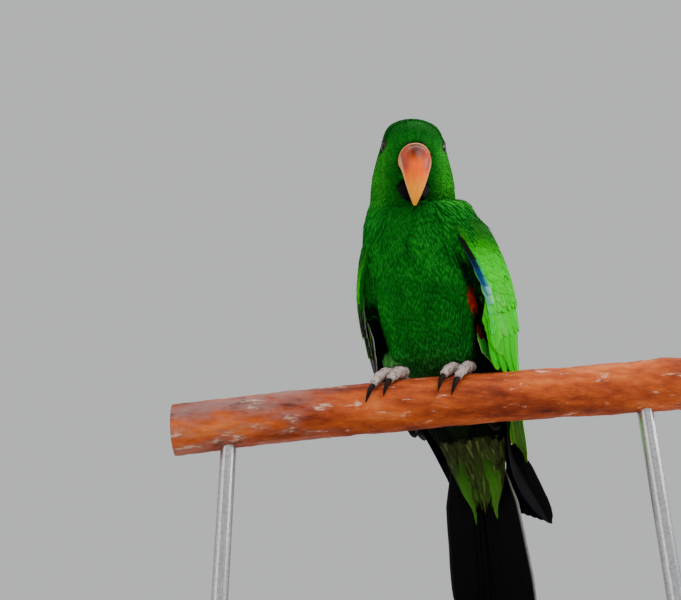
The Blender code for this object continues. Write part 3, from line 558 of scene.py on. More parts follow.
# The folded wings share one outline: height, sideways, back shift, half width, front depth, back depth
WING_ROWS = (
    (126, -4, -8, 31, 25, 27),
    (110, -3, -3, 39.5, 33, 33),
    (96, -2, 0, 44, 38, 36),
    (78, -1.5, 4.5, 48, 40.5, 37.5),
    (60, -0.5, 9, 49, 41, 39),
    (43, 0, 14, 48, 39.5, 40),
    (28, 0, 19, 45.5, 36, 43),
    (10, 0, 30, 42, 31, 46.5),
    (-10, 0, 42, 38.5, 26, 52),
    (-30, 0, 55, 37, 22, 50),
    (-50, 0, 66, 38.5, 19, 43),
    (-72, 0, 78, 40, 17, 37),
)


def wing_margin(height):
    """Angle of the front edge of the folded wing at a height on that outline."""
    return -52 + 15 * np.clip((110 - height) / 51, 0, 1)


def wing_place(bird):
    """Height and angle on the wings' outline for places in the bird's frame."""
    rows = np.array(WING_ROWS)[::-1].T
    height = bird[:, 2].copy()
    for _ in range(4):
        lean = (bird[:, 1] - np.interp(height, rows[0], rows[2])) / math.cos(BODY_LEAN)
        height = bird[:, 2] - lean * math.sin(BODY_LEAN)
    sideways, width, front, back = (np.interp(height, rows[0], rows[i]) for i in (1, 3, 4, 5))
    depth = np.where(lean > 0, back, front)
    side = np.where(bird[:, 0] > 0, 1, -1)
    return height, np.degrees(np.arctan2(lean / depth, (side * bird[:, 0] - sideways) / width))


def streaks(bird):
    """Fine darker and lighter streaks down the body, and broad soft patches."""
    fine = [noise.noise(Vector((x * 0.55, y * 0.4, z * 0.1))) for x, y, z in bird]
    broad = [noise.noise(Vector((x, y, z)) * 0.07 + Vector((5, 2, 9))) for x, y, z in bird]
    return 1 + 0.34 * np.array(fine) + 0.4 * np.array(broad)


def plumage(points, zone):
    """Colour of the small feathers at world places; zone is the region's number."""
    bird = in_frame(points, BIRD)
    head = in_frame(points, HEAD)
    # Painted light: the breast is painted lighter towards the bird's right side, which the lamps light
    # less
    colour = BREAST * (1 + 0.45 * smooth_step(-10, -30, bird[:, 0]))[:, None]
    colour = blend(colour, BELLY, smooth_step(46, 12, bird[:, 2]) * 0.7)
    colour = blend(colour, MANTLE, smooth_step(6, 26, bird[:, 1] - bird[:, 2] * -0.1))
    before_rump = smooth_step(56, 46, bird[:, 1] + 0.6 * bird[:, 2])
    colour = blend(colour, VENT, np.maximum(smooth_step(25, 10, bird[:, 2]) * before_rump, zone == 5))
    on_head = np.isin(zone, (1, 2)) * smooth_step(-42, -24, head[:, 2])
    face_colour = np.tile(THROAT, (len(points), 1))
    cheek = smooth_step(8, 20, np.abs(head[:, 0])) * smooth_step(8, -4, head[:, 2])
    face_colour = blend(face_colour, CHEEK, cheek)
    brow = smooth_step(-2, 8, head[:, 2]) * smooth_step(-16, 10, head[:, 1])
    face_colour = blend(face_colour, FOREHEAD, brow)
    colour = blend(colour, face_colour, on_head)
    height, angle = wing_place(bird)
    upper = smooth_step(101, 86, height) * smooth_step(60, 10, angle)
    inward = wing_margin(height) - angle
    outer = np.where(bird[:, 0] > 0, 1.0, smooth_step(-12, -22, inward))
    colour = blend(colour, WING, (zone == 4) * upper * outer * 0.8)
    below_bend = np.where(bird[:, 0] > 0, smooth_step(97, 88, height), smooth_step(80, 70, height))
    # Painted shadow: the wing's own skin is painted near black along its front edge, below the bend
    colour = blend(colour, SLIT_SHADOW_BLACK, (zone == 4) * smooth_step(-8, -5, inward) * below_bend * 0.95)
    # Painted shadow: a dark slit is painted down the breast in front of each wing and under its edge,
    # with red down showing through it
    on_body = np.isin(zone, (0, 3)) * (np.abs(angle) < 80)
    narrower = np.where(bird[:, 0] > 0, 0, 5)
    slit = smooth_step(-3, 1, inward) * smooth_step(9, 4, inward + narrower) * below_bend
    under = smooth_step(-4, 0, -inward) * below_bend * smooth_step(60, 40, angle)
    colour = blend(colour, SLIT_SHADOW_BLACK, np.maximum(slit, under) * on_body * 0.93)
    red = smooth_step(9, 7, inward) * smooth_step(-2, 1, inward) * (bird[:, 0] > 0) * on_body
    red = red * smooth_step(58, 63, height) * smooth_step(74, 70, height)
    colour = blend(colour, FLANK_RED * (1.3 - 0.7 * smooth_step(60, 72, height))[:, None], red)
    # Painted shadow: a darker crease down the middle of the breast
    groove_shadow = np.exp(-((bird[:, 0] + 2.6) / 1.8) ** 2 - ((bird[:, 2] - 91) / 7) ** 2)
    return colour * (streaks(bird) * (1 - 0.7 * groove_shadow))[:, None]


# Painted shade: the skin, seen only between the feathers, is painted darker than the coat's colour at the
# same place
SKIN_PAINTED_SHADE = 0.55

add_point_colour(skin.data, plumage(skin_points, region) * SKIN_PAINTED_SHADE)
skin_material, tree, shader = new_material("plumage_skin", 0.85, 0.08)
grain = remap(tree, noise_value(tree, object_place(tree), 900.0), 0.2, 0.8, 0.6, 1.2)
dress(tree, shader, shaded_tint(tree, grain))
skin.data.materials.append(skin_material)
skin.data.shade_smooth()
hand_over(skin, "plumage_green", *FLESH)

# %% [markdown]
# A small feather is a thin closed vane with a raised shaft. It is modelled once: a four-sided cone is
# cut into rings and its rings are given their widths. Thousands of copies will be bent along the skin.

# %% One small feather
# Share of the full width at each share of the length
TUFT_WIDTHS = {0.0: 0.45, 0.3: 1.0, 0.65: 0.82, 1.0: 0.0}


def model_small_feather(widths):
    """A master whose X is the share across, Y the share along and Z the share of the thickness."""
    bpy.ops.object.select_all(action="DESELECT")
    bpy.ops.mesh.primitive_cone_add(vertices=4, radius1=1, radius2=0, depth=1, location=(0, 0, 0.5))
    master = bpy.context.object
    bpy.ops.object.transform_apply(location=True)
    for height in list(widths)[1:-1]:
        edit_all(master, bpy.ops.mesh.bisect, plane_co=(0, 0, height), plane_no=(0, 0, 1))
    apply_modifier(master, "TRIANGULATE")
    shape = []
    for vertex in master.data.vertices:
        turn = math.atan2(vertex.co.y, vertex.co.x)
        stop = min(widths, key=lambda value: abs(value - vertex.co.z))
        wide = widths[stop]
        shape.append((wide * math.cos(turn), stop, math.sin(turn) * (1 if wide else 0)))
    faces = [tuple(face.vertices) for face in master.data.polygons]
    bpy.data.objects.remove(master)
    return np.array(shape), np.array(faces)


tuft_shape = model_small_feather(TUFT_WIDTHS)
print("triangles in a small feather:", len(tuft_shape[1]))

# %% [markdown]
# Roots are drawn evenly over the skin by area and thinned to a spacing, the same on every run because
# the draw is seeded. Feathers point away from the bill on the head and down the body elsewhere.

# %% Roots and the lie of the coat
draw = np.random.default_rng(7)
BILL_ROOT = np.array((0.0, 26.0, -9.0))
DOWN = np.array(BIRD.to_3x3() @ Vector((0, 0.45, -0.89)))
DOWN = DOWN / np.linalg.norm(DOWN)
HEAD_AXES = np.array(HEAD.to_3x3()) / MM
face_area = 0.5 * np.linalg.norm(np.cross(
    skin_points[corners[:, 1]] - skin_points[corners[:, 0]],
    skin_points[corners[:, 2]] - skin_points[corners[:, 0]]), axis=1)
face_region = region[corners[:, 0]]


def unit(vectors):
    return vectors / np.maximum(np.linalg.norm(vectors, axis=1), 1e-12)[:, None]


def draw_roots(mask, spacing):
    """Places, normals and map places of evenly thinned roots on the masked faces."""
    chosen = np.flatnonzero(mask)
    weight = face_area[chosen]
    count = int(4.0 * weight.sum() / spacing ** 2)
    picked = draw.choice(chosen, count, p=weight / weight.sum())
    a, b = draw.random((2, count))
    over = a + b > 1
    a[over], b[over] = 1 - a[over], 1 - b[over]
    parts = np.stack((1 - a - b, a, b), axis=1)
    places = np.einsum("ij,ijk->ik", parts, skin_points[corners[picked]])
    cell = np.floor(places / (0.86 * spacing)).astype(np.int64)
    _, first = np.unique(cell, axis=0, return_index=True)
    picked, parts, places = picked[first], parts[first], places[first]
    normals = unit(np.einsum("ij,ijk->ik", parts, skin_normals[corners[picked]]))
    maps = np.einsum("ij,ijk->ik", parts, corner_map[picked])
    return places, normals, maps, face_region[picked]


def lie_of_coat(places, normals):
    """Direction of the feathers: away from the bill on the head, then down the body."""
    head = in_frame(places, HEAD)
    away = head - BILL_ROOT
    near = np.exp(-(np.linalg.norm(away, axis=1) / 33.0) ** 4)
    away = unit(away) @ HEAD_AXES.T
    flow = away * near[:, None] + DOWN * (1 - near)[:, None]
    flow = flow - normals * np.sum(flow * normals, axis=1)[:, None]
    return unit(flow)


# %% [markdown]
# Each feather is laid along the skin: its path takes a few steps in its direction, and each step is
# brought back to the skin's surface. The root sinks a little and the tip rises to the coat's depth, so
# every feather lies over the roots of the next ones down.

# %% Laying feathers on the skin
PATH_STEPS = 4
ROOT_SINK = 0.3 * MM
ROOT_PAINTED_SHADE = 0.88
TIP_PAINTED_LIGHT = 1.08
RUFFLE = 0.1
PIECE_LIMIT = 180000


def vary(count, middle, share=0.12):
    return middle * MM * (1 + draw.normal(0, share, count)).clip(0.6, 1.5)


def lay_feathers(name, mask, spacing, length, half, lift, thick, splay=0.1):
    """One coat of small feathers on the masked faces; all sizes are in millimetres."""
    places, normals, maps, zone = draw_roots(mask, spacing * MM)
    outline, faces = tuft_shape
    count = len(places)
    length = vary(count, length)
    half = vary(count, half)
    heading = lie_of_coat(places, normals)
    side = np.cross(normals, heading)
    turn = draw.normal(0, splay, count)
    heading = unit(heading * np.cos(turn)[:, None] + side * np.sin(turn)[:, None])
    lift = lift * MM * (1 + draw.normal(0, RUFFLE, count)).clip(0.4, 1.7)
    path = np.zeros((count, PATH_STEPS + 1, 3))
    frames = np.zeros((count, PATH_STEPS + 1, 3))
    path[:, 0] = places
    frames[:, 0] = normals
    here = places.copy()
    for step in range(PATH_STEPS):
        target = here + heading * (length / PATH_STEPS)[:, None]
        for i in range(count):
            here[i], frames[i, step + 1], _, _ = skin_tree.find_nearest(target[i])
        path[:, step + 1] = here
        normal = unit(frames[:, step + 1] + frames[:, step])
        heading = unit(heading - normal * np.sum(heading * normal, axis=1)[:, None])
    shares = np.linspace(0, 1, PATH_STEPS + 1)
    rise = -ROOT_SINK + (lift + ROOT_SINK)[:, None] * np.sin(shares * math.pi / 2)
    path = path + frames * rise[:, :, None]
    along = outline[:, 1] * PATH_STEPS
    low = np.minimum(along.astype(int), PATH_STEPS - 1)
    part = (along - low)[None, :, None]
    centre = path[:, low] * (1 - part) + path[:, low + 1] * part
    upward = frames[:, low] * (1 - part) + frames[:, low + 1] * part
    across = np.cross(upward, path[:, low + 1] - path[:, low])
    across /= np.maximum(np.linalg.norm(across, axis=2), 1e-12)[:, :, None]
    points = centre + across * (outline[:, 0][None] * half[:, None])[:, :, None]
    points = points + upward * (outline[:, 2] * (thick * MM))[None, :, None]
    # Painted shade and light: each feather is painted darker at its root, which lies under the next
    # feathers, and lighter at its tip
    shade = ROOT_PAINTED_SHADE + (TIP_PAINTED_LIGHT - ROOT_PAINTED_SHADE) * outline[:, 1] ** 0.8
    shade = shade[None, :] * (1 + draw.normal(0, 0.06, count))[:, None]
    tint = plumage(places, zone)[:, None, :] * shade[:, :, None]
    vane_map = np.stack((0.5 + 0.5 * outline[:, 0], outline[:, 1]), axis=1)
    bake = maps[:, None, :] + (vane_map - 0.5)[None] * BAKE_PATCH
    split_pieces(name, points, faces, tint, vane_map, bake, down_material, "plumage_green")


def split_pieces(name, points, faces, tint, vane_map, bake, material, slot):
    """Join the feathers into as few pieces as the limit of triangles allows."""
    total, corner_count, _ = points.shape
    made = []
    parts = max(1, math.ceil(total / (PIECE_LIMIT // len(faces))))
    for part, group in enumerate(np.array_split(np.arange(total), parts)):
        shift = np.arange(len(group))[:, None, None] * corner_count
        all_faces = (faces[None] + shift).reshape(-1, 3)
        label = name if parts == 1 else f"{name}_{part + 1}"
        piece = array_piece(label, points[group].reshape(-1, 3), all_faces, material)
        add_point_colour(piece.data, tint[group].reshape(-1, 3))
        add_point_map(piece.data, BAKE_MAP, bake[group].reshape(-1, 2))
        add_point_map(piece.data, "Vane", np.tile(vane_map, (len(group), 1)))
        hand_over(piece, slot)
        made.append(piece)
    print(name, "feathers:", total, "triangles:", total * len(faces))
    return made


def array_piece(name, points, faces, material):
    """A triangle mesh straight from arrays, which is quick for large coats."""
    mesh = bpy.data.meshes.new(name)
    mesh.vertices.add(len(points))
    mesh.vertices.foreach_set("co", points.astype(np.float32).ravel())
    mesh.loops.add(len(faces) * 3)
    mesh.loops.foreach_set("vertex_index", faces.astype(np.int32).ravel())
    mesh.polygons.add(len(faces))
    mesh.polygons.foreach_set("loop_start", np.arange(0, len(faces) * 3, 3, dtype=np.int32))
    mesh.update(calc_edges=True)
    mesh.validate()
    mesh.materials.append(material)
    mesh.shade_smooth()
    return new_object(name, mesh)


# %% [markdown]
# The coat is laid region by region: tiny feathers on the face, small ones on the crown and nape, longer
# ones on breast, belly and back, and loose ones on the thighs.

# %% Coat of the head and body
face_middle = skin_points[corners].mean(axis=1)
front = face_share(in_frame(face_middle, HEAD)) > 0.5
neck = in_frame(face_middle, BIRD)
nape = (face_region < 2) & (neck[:, 2] > 113) & (neck[:, 2] < 127) & (neck[:, 1] > -16)
bend_height, bend_angle = wing_place(neck)
bend = np.isin(face_region, (0, 4)) & (bend_height > 90) & (bend_angle > -58)
bend = bend & (bend_angle < -42 + 0.5 * (bend_height - 90))

lay_feathers("face_coat", (face_region == 2) & front, 0.85, 3.0, 0.5, 0.4, 0.09)
lay_feathers("crown_coat", (face_region == 2) & ~front, 1.05, 5.0, 0.75, 0.75, 0.12)
lay_feathers("neck_coat", face_region == 1, 1.25, 7.0, 0.75, 0.9, 0.13)
lay_feathers("body_coat", face_region == 0, 1.45, 9.5, 0.9, 0.8, 0.14, splay=0.08)
lay_feathers("nape_coat", nape, 2.0, 13.0, 1.1, 1.9, 0.18, splay=0.12)
lay_feathers("thigh_coat", face_region == 3, 1.5, 8.0, 1.0, 1.0, 0.15, splay=0.25)
lay_feathers("vent_coat", face_region == 5, 1.3, 9.0, 0.7, 0.7, 0.13, splay=0.3)
lay_feathers("wing_down", face_region == 4, 1.5, 7.0, 0.9, 0.9, 0.14)
lay_feathers("bend_coat", bend, 1.7, 11.0, 1.0, 2.1, 0.16, splay=0.12)

# %% [markdown]
# Long feathers are blades: thin slabs with a shaft down the middle, thinner towards their edges and
# rounded at the tip. One blade is modelled as a grid with a thickness. Small coverts use a coarser one.

# %% Two blades to copy
BLADE_COLUMNS = {0.0: 0.0, 0.25: 0.07, 0.5: 0.4, 0.75: 0.76, 1.0: 1.0}
SCALE_COLUMNS = {0.0: 0.0, 0.5: 0.45, 1.0: 1.0}


def model_blade(across, along, columns):
    """A master slab: X is -1 to 1 across, Y 0 at the root to 1 at the tip, Z its two faces."""
    bpy.ops.object.select_all(action="DESELECT")
    bpy.ops.mesh.primitive_grid_add(x_subdivisions=across, y_subdivisions=along, size=2)
    master = bpy.context.object
    apply_modifier(master, "SOLIDIFY", thickness=1.0, offset=0.0)
    apply_modifier(master, "TRIANGULATE")
    shape = np.array([tuple(vertex.co) for vertex in master.data.vertices])
    faces = np.array([tuple(face.vertices) for face in master.data.polygons])
    bpy.data.objects.remove(master)
    wide = np.interp(np.abs(shape[:, 0]), list(columns), list(columns.values()))
    shape[:, 0] = np.sign(shape[:, 0]) * wide
    shape[:, 1] = 1 - (1 - (shape[:, 1] + 1) / 2) ** 1.6
    shape[:, 2] = np.sign(shape[:, 2])
    return shape, faces


blade_shape = model_blade(8, 20, BLADE_COLUMNS)
scale_shape = model_blade(4, 7, SCALE_COLUMNS)
print("triangles in a blade and in a small covert:", len(blade_shape[1]), len(scale_shape[1]))

# %% [markdown]
# The folded wings share one smooth outline, given by rows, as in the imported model. A feather's place
# on it is a height and an angle from the bird's side towards its back.

# %% The outline of the wings and feathers laid on it
FLARE_START = 0.66
TWIST_START = 0.46
TWIST_GROWTH = 1.5
BAKE_CELLS = 12


def surface_point(rows, side, height, angle, depth):
    """Point and outward normal on an outline given by rows, in the bird's frame."""
    place = 0.0
    for i, (upper, lower) in enumerate(zip(rows, rows[1:])):
        if height <= upper[0]:
            place = i + (upper[0] - height) / (upper[0] - lower[0])
    place = min(place, len(rows) - 1.0)
    turn = math.radians(angle)
    point = outline_point(read_rows(rows, place), turn, side)
    low = outline_point(read_rows(rows, min(place + 0.05, len(rows) - 1.0)), turn, side)
    high = outline_point(read_rows(rows, max(place - 0.05, 0.0)), turn, side)
    row = read_rows(rows, place)
    around = outline_point(row, turn + 0.05, side) - outline_point(row, turn - 0.05, side)
    normal = (low - high).cross(around).normalized()
    point = point + normal * depth
    point.x *= side
    normal.x *= side
    return point, normal


def feather_place(rows, side, root, tip, depths, radius=44.0, bend=1.2, flare=(0, 0, 0), twist=0.0):
    """Middle surface of a feather from root to tip; depths are those at its root and at its tip.

    Flare lifts the tip and twist turns it, so that the edge on the breast's side stands out.
    """
    fall = tip[0] - root[0]
    sweep = math.radians(tip[1] - root[1]) * radius
    length = math.hypot(fall, sweep)
    offset = Vector(flare)

    def lie(t, across):
        step = across / length
        height = root[0] + fall * t - step * sweep
        angle = root[1] + (tip[1] - root[1]) * t ** bend + math.degrees(step * fall / radius)
        level = depths[0] + (depths[1] - depths[0]) * t
        return surface_point(rows, side, height, angle, level)

    def place(t, across):
        point, normal = lie(t, across)
        turn = twist * max(0.0, (t - TWIST_START) / (1 - TWIST_START)) ** TWIST_GROWTH
        if turn:
            middle, normal = lie(t, 0.0)
            edge = point - middle
            point = middle + edge * math.cos(turn) - normal * across * math.sin(turn)
            side_way = edge.normalized() * math.copysign(1.0, across) if across else Vector()
            normal = (normal * math.cos(turn) + side_way * math.sin(turn)).normalized()
        return point + offset * max(0.0, (t - FLARE_START) / (1 - FLARE_START)) ** 2, normal

    return place


# %% [markdown]
# A blade's outline widens from the quill and closes in a round or a pointed tip. Its two vanes tilt a
# little, so that each blade rests on the next one, and small nicks break its edges.

# %% Shaping one blade
def vane_profile(t, point):
    """Share of the full width along a blade; a higher point value gives a fuller tip."""
    rise = np.minimum(1.0, 0.32 + 2.2 * t)
    fall = np.sqrt(np.maximum(0.0, 1.0 - np.maximum(0.0, (t - 0.66) / 0.34) ** point))
    return rise * np.maximum(fall, 0.03)


def shape_blade(shape, place, half, thick=0.35, tilt=0.1, camber=0.05, point=2.0, nick=0.08):
    """World points of one blade; sizes are in millimetres."""
    nicks = {}
    for t in np.unique(shape[:, 1]):
        for sign in (-1, 1):
            nicks[(t, sign)] = 1 - nick * max(0.0, draw.normal(0, 1)) * (0.1 < t < 0.95)
    wide = vane_profile(shape[:, 1], point)
    result = np.zeros((len(shape), 3))
    cache = {}
    for i, (x, t, z) in enumerate(shape):
        reach = half * wide[i] * x
        if abs(x) > 0.99:
            reach *= nicks[(t, 1 if x > 0 else -1)]
        if (x, t) not in cache:
            cache[(x, t)] = place(t, reach)
        spot, normal = cache[(x, t)]
        shaft = 0.4 * math.exp(-(x / 0.06) ** 2) * (1 - 0.7 * t)
        body = thick * (0.5 - 0.32 * abs(x) + shaft) * (1 - 0.4 * t)
        level = tilt * reach - camber * half * wide[i] * x * x + z * body
        result[i] = BIRD @ (spot + normal * level)
    return result


def blade(place, half, colour, **shape):
    """One feather for make_blades: its place function, half width, colour function and shape."""
    return place, half, colour, shape


def make_blades(name, shape, blades, material, slot, *replaced):
    """One joined piece of blades, each with its own cell of the bake map."""
    outline, faces = shape
    vane_map = np.stack((0.5 + 0.5 * outline[:, 0], outline[:, 1]), axis=1)
    points, tint, bake = [], [], []
    cells = max(BAKE_CELLS, math.ceil(math.sqrt(len(blades))))
    for i, (place, half, colour, settings) in enumerate(blades):
        points.append(shape_blade(outline, place, half, **settings))
        glow = 1 + 0.06 * draw.normal()
        tint.append(colour(outline[:, 0], outline[:, 1]) * glow)
        corner = np.array((i % cells, i // cells)) / cells
        bake.append(corner + vane_map * 0.92 / cells + 0.04 / cells)
    points, tint, bake = np.array(points), np.array(tint), np.array(bake)
    pieces = split_pieces(name, points, faces, tint, vane_map, bake, material, slot)
    for piece in pieces:
        fix_normals(piece)
    if replaced:
        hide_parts(*replaced)
    print(name, "blades:", len(blades), "pieces:", len(pieces))


def plain_vane(base, edge, rim=0.14, side=0, dark=0.75, strength=0.8):
    """A colour function: base over the vane, edge along its rim on one side or both, and a root painted
    darker as shade where the next feathers cover it.
    """
    def colour(x, t):
        away = np.abs(x) if side == 0 else x * side
        share = smooth_step(1 - rim * 2.2, 1 - rim * 0.3, away)
        tip = smooth_step(0.93, 1.0, t) * (0.8 if side == 0 else 0.4)
        mixed = blend(np.tile(base, (len(x), 1)), edge, np.maximum(share, tip) * strength)
        # Painted shade: darker towards the root, which the next feathers cover
        shade = dark + (1 - dark) * smooth_step(0.0, 0.5, t)
        shaft = 1 - 0.3 * np.exp(-(x / 0.05) ** 2)
        return mixed * (shade * shaft)[:, None]
    return colour


# %% [markdown]
# The wing is body green at the shoulder and yellow green over its side, partly its own colour and partly
# painted light. Painted shade lies along the right wing's front edge and a painted highlight on the left
# wing. One function gives its colour for a place, so that every layer of feathers agrees with the next.

# %% Edge and colour of the folded wings
EDGE_HEIGHT = 66.0
EDGE_SLOPE = 0.14
WING_EDGE = linear(140, 226, 40)
PAINTED_HIGHLIGHT_GREEN = linear(140, 214, 120)


def edge_height(angle):
    return EDGE_HEIGHT + EDGE_SLOPE * angle


def wing_green(side, height, angle):
    """Body green at the shoulder and the back, yellow green over the side that is partly painted light,
    painted shade along the right wing's front edge and a painted highlight patch on the left.
    """
    share = smooth_step(103, 80, height) * smooth_step(72, 18, angle)
    dark = MANTLE + (SHOULDER - MANTLE) * smooth_step(40, 0, angle)
    base = dark * (1 - share) + WING * share
    if side < 0:
        # Painted shade: on the right wing the feathers near the front edge are painted near black
        near = smooth_step(26, 12, angle - float(wing_margin(height))) * smooth_step(82, 70, height)
        base = base * (1 - near) + SLIT_SHADOW_BLACK * near
    # Painted highlight: a pale patch on the left wing's side
    painted_highlight = math.exp(-((height - 61) / 4) ** 2 - ((angle + 31) / 4) ** 2) * (side > 0)
    return base * (1 - 0.4 * painted_highlight) + PAINTED_HIGHLIGHT_GREEN * 0.4 * painted_highlight


# %% [markdown]
# Small coverts lie in rows like roof tiles, and longer narrow ones cover the wing's front edge. Rows
# in a loop, each a little larger than the last, give the even growth of the real ones.

# %% Small coverts and edge coverts
SMALL_COVERT_ROWS = 18
EDGE_COVERT_COUNT = 26
FLIGHT_BLACK = linear(2, 2, 4)
EDGE_BLUE = linear(4, 52, 104)
EDGE_PALE = linear(120, 190, 176)
EDGE_GREY = linear(150, 156, 152)


def small_coverts(side):
    """Rows of small coverts from the wing's bend down to its edge, growing on the way."""
    blades = []
    for row in range(SMALL_COVERT_ROWS):
        share = row / (SMALL_COVERT_ROWS - 1)
        half = 1.5 + 2.0 * share
        count = int(96 / (half * 1.4))
        start = float(wing_margin(106 - 34 * share)) + 3.5
        sink = max(0.0, 1 - row / 3)
        for i in range(count + 1):
            spread = (i + 0.5 * (row % 2)) / count
            angle = start + (76 - start) * spread + draw.normal(0, 0.8)
            top = 106 + 12 * math.sin(math.pi * (0.12 + 0.7 * (angle + 52) / 130))
            height = top + (edge_height(angle) + 6 - top) * share + draw.normal(0, 0.6)
            length = (7 + 8 * share) * (1 + 0.08 * draw.normal())
            tip = (height - length, angle + 2 + 3 * share + draw.normal(0, 0.7))
            depths = (-1.1 - 2 * sink, -0.2 - 0.9 * sink)
            place = feather_place(WING_ROWS, side, (height, angle), tip, depths)
            green = wing_green(side, height - length / 2, angle)
            colour = plain_vane(green, WING_EDGE * 0.9, 0.1, dark=0.9, strength=0.05 + 0.15 * share)
            blades.append(blade(place, half, colour, thick=0.2, tilt=0.015, point=1.9, nick=0.06))
    return blades


def edge_coverts(side):
    """Long narrow feathers down the wing's front edge: painted shadow at the bend, then blue, then pale
    streaks of painted highlight.
    """
    blades = []
    for i in range(EDGE_COVERT_COUNT):
        share = i / (EDGE_COVERT_COUNT - 1)
        lane = i % 3
        height = 98 - 44 * share
        angle = float(wing_margin(height)) + 0.4 + 1.9 * lane
        tip_height = height - 17 + 2 * lane
        tip = (tip_height, float(wing_margin(tip_height)) + 0.8 + 1.9 * lane - 3 * share)
        if side > 0:
            green = wing_green(side, height - 8, angle + 4)
            # Painted shadow: near the bend these feathers are painted near black, like the slit beside
            # them
            dark = smooth_step(0.34, 0.05, share)
            hue = SLIT_SHADOW_BLACK * dark + EDGE_BLUE * (1 - dark) * (0.8 + 0.4 * draw.random())
            if lane == 2:
                hue = hue * 0.4 + green * 0.6
            # Painted highlight: pale streaks of random strength over the blue
            pale = smooth_step(0.35, 0.62, share) * draw.uniform(0.2, 0.9)
            hue = hue * (1 - pale) + EDGE_PALE * pale
            grown = smooth_step(0.52, 0.8, share)
            hue = hue * (1 - grown) + green * grown
            colour = plain_vane(hue, EDGE_PALE, 0.08, dark=0.6, strength=0.05 + 0.5 * share)
        else:
            high = smooth_step(72, 80, height)
            hue = FLIGHT_BLACK * (1 - high) + SHOULDER * high
            rim = 0.85 * (lane == 0) * (1 - high)
            colour = plain_vane(hue, EDGE_GREY, 0.12, dark=0.9, strength=rim)
        place = feather_place(WING_ROWS, side, (height, angle), tip, (-0.9, 0.3))
        blades.append(blade(place, 1.4, colour, thick=0.3, tilt=0.05, point=1.4, nick=0.1))
    return blades


# %% [markdown]
# Two rows of longer coverts, the median and the greater ones, cover the roots of the flight feathers.
# A few more on the left wing end over the branch. All lie in rows, so one function makes a row.

# %% Median and greater coverts
# Left feathers over the branch: root and tip as height and angle, half width, depths
LEFT_TIPS = (
    ((60, -33), (20, -35), 5.5, (-2.4, -1.6)), ((60, -27), (18.5, -27), 5.8, (-2.2, -1.2)),
    ((59, -20), (17.5, -17), 6.0, (-2.1, -0.9)), ((58, -12), (17, -8), 6.0, (-2.0, -0.8)),
    ((62, -34), (31, -36), 4.6, (-1.2, -0.4)),
)


def covert_row(side, count, lift, length, half, depths, shade):
    """One row of coverts along the wing's edge, raised by lift."""
    blades = []
    for i in range(count):
        angle = -36 + 108 * i / (count - 1)
        root = (edge_height(angle) + lift, angle)
        tip = (root[0] - length - draw.normal(0, 0.6), angle + 6)
        place = feather_place(WING_ROWS, side, root, tip, depths)
        green = wing_green(side, root[0], angle) * shade
        colour = plain_vane(green, WING_EDGE, 0.09, dark=0.92, strength=0.2)
        blades.append(blade(place, half, colour, thick=0.3, tilt=0.05, point=1.9, nick=0.04))
    return blades


def long_coverts(side):
    """Median and greater coverts; on the left also green feathers that end over the branch."""
    blades = covert_row(side, 15, 9, 20, 5.2, (-1.2, -0.5), 1.0)
    blades += covert_row(side, 14, 0, 25, 5.9, (-1.9, -1.0), 0.96)
    for root, tip, half, depths in LEFT_TIPS if side > 0 else ():
        hue = wing_green(side, 60, -10) * (0.92 + 0.1 * draw.random())
        place = feather_place(WING_ROWS, side, root, tip, depths)
        colour = plain_vane(hue, WING_EDGE, 0.08, side=-1, dark=0.9, strength=0.5)
        blades.append(blade(place, half, colour, thick=0.35, tilt=0.06, point=2.0, nick=0.04))
    return blades


# %% [markdown]
# The secondaries come next, and the black primaries deepest of all. They are few and long, so each
# has a place of its own on the outline instead of a row.

# %% Secondaries and primaries
SECONDARY_COUNT = 12
# Longest reach of each secondary from the breast side to the back: height and angle of the tip
SECONDARY_TIPS = (
    (28, -28), (22, -13), (12, 6), (-2, 22), (-9, 34), (-12, 47), (-7, 60), (12, 72),
)
# The left wing hangs lower, so its longest secondaries reach further down; 1 is left and -1 right
SECONDARY_DROP = {1: 19.0, -1: 0.0}
# On the right the first secondaries, counted from the breast side, are black
RIGHT_BLACK_COUNT = 7
PRIMARY_COUNT = 7
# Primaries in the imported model, whose span the finer ones here share out
PRIMARY_SPAN = 3.0
# Tip of the longest primary: height, angle, lift of the tip, spread and twist of the tips in degrees
PRIMARY_TIP = {1: (-57, 33, (14, 12, 0), 6, 60), -1: (-52, 58, (-1, 5, 0), 4, 0)}
SECONDARY_GREEN = linear(44, 184, 16)
LOW_GREEN = linear(56, 196, 14)
FLIGHT_EDGE = linear(16, 24, 40)


def bright_tip(colour):
    """The same colour function with painted light on its end, for tips that hang in the branch's shade.
    """
    def brighter(x, t):
        return np.minimum(colour(x, t) * (1 + 4.0 * smooth_step(0.6, 0.85, t))[:, None], 0.92)
    return brighter


def secondaries(side):
    blades = []
    tips = [tuple(map(float, tip)) for tip in SECONDARY_TIPS]
    for i in range(SECONDARY_COUNT):
        share = i / (SECONDARY_COUNT - 1)
        height, tip_angle = read_rows(tips, i * (len(tips) - 1) / (SECONDARY_COUNT - 1))
        height -= SECONDARY_DROP[side] * math.sin(math.pi * share) ** 2
        angle = -35 + 106 * share
        root = (edge_height(angle) - 3, angle)
        place = feather_place(WING_ROWS, side, root, (height, tip_angle), (-2.8, -1.2))
        if side < 0 and i < RIGHT_BLACK_COUNT:
            colour = plain_vane(FLIGHT_BLACK, EDGE_GREY, 0.05, side=1, strength=0.9)
        elif side > 0 and 0.15 < share < 0.8:
            # Painted shade and light: these left secondaries hang under the branch, so their roots are
            # painted dark and their tips painted bright
            lower = plain_vane(LOW_GREEN, WING_EDGE, 0.1, side=-1, dark=0.45, strength=0.6)
            colour = bright_tip(lower)
        else:
            green = SECONDARY_GREEN * (1 - 0.3 * share)
            colour = plain_vane(green, WING_EDGE, 0.07, side=-1, strength=0.9)
        blades.append(blade(place, 9.0, colour, thick=0.4, tilt=0.09, nick=0.03, point=1.8))
    return blades


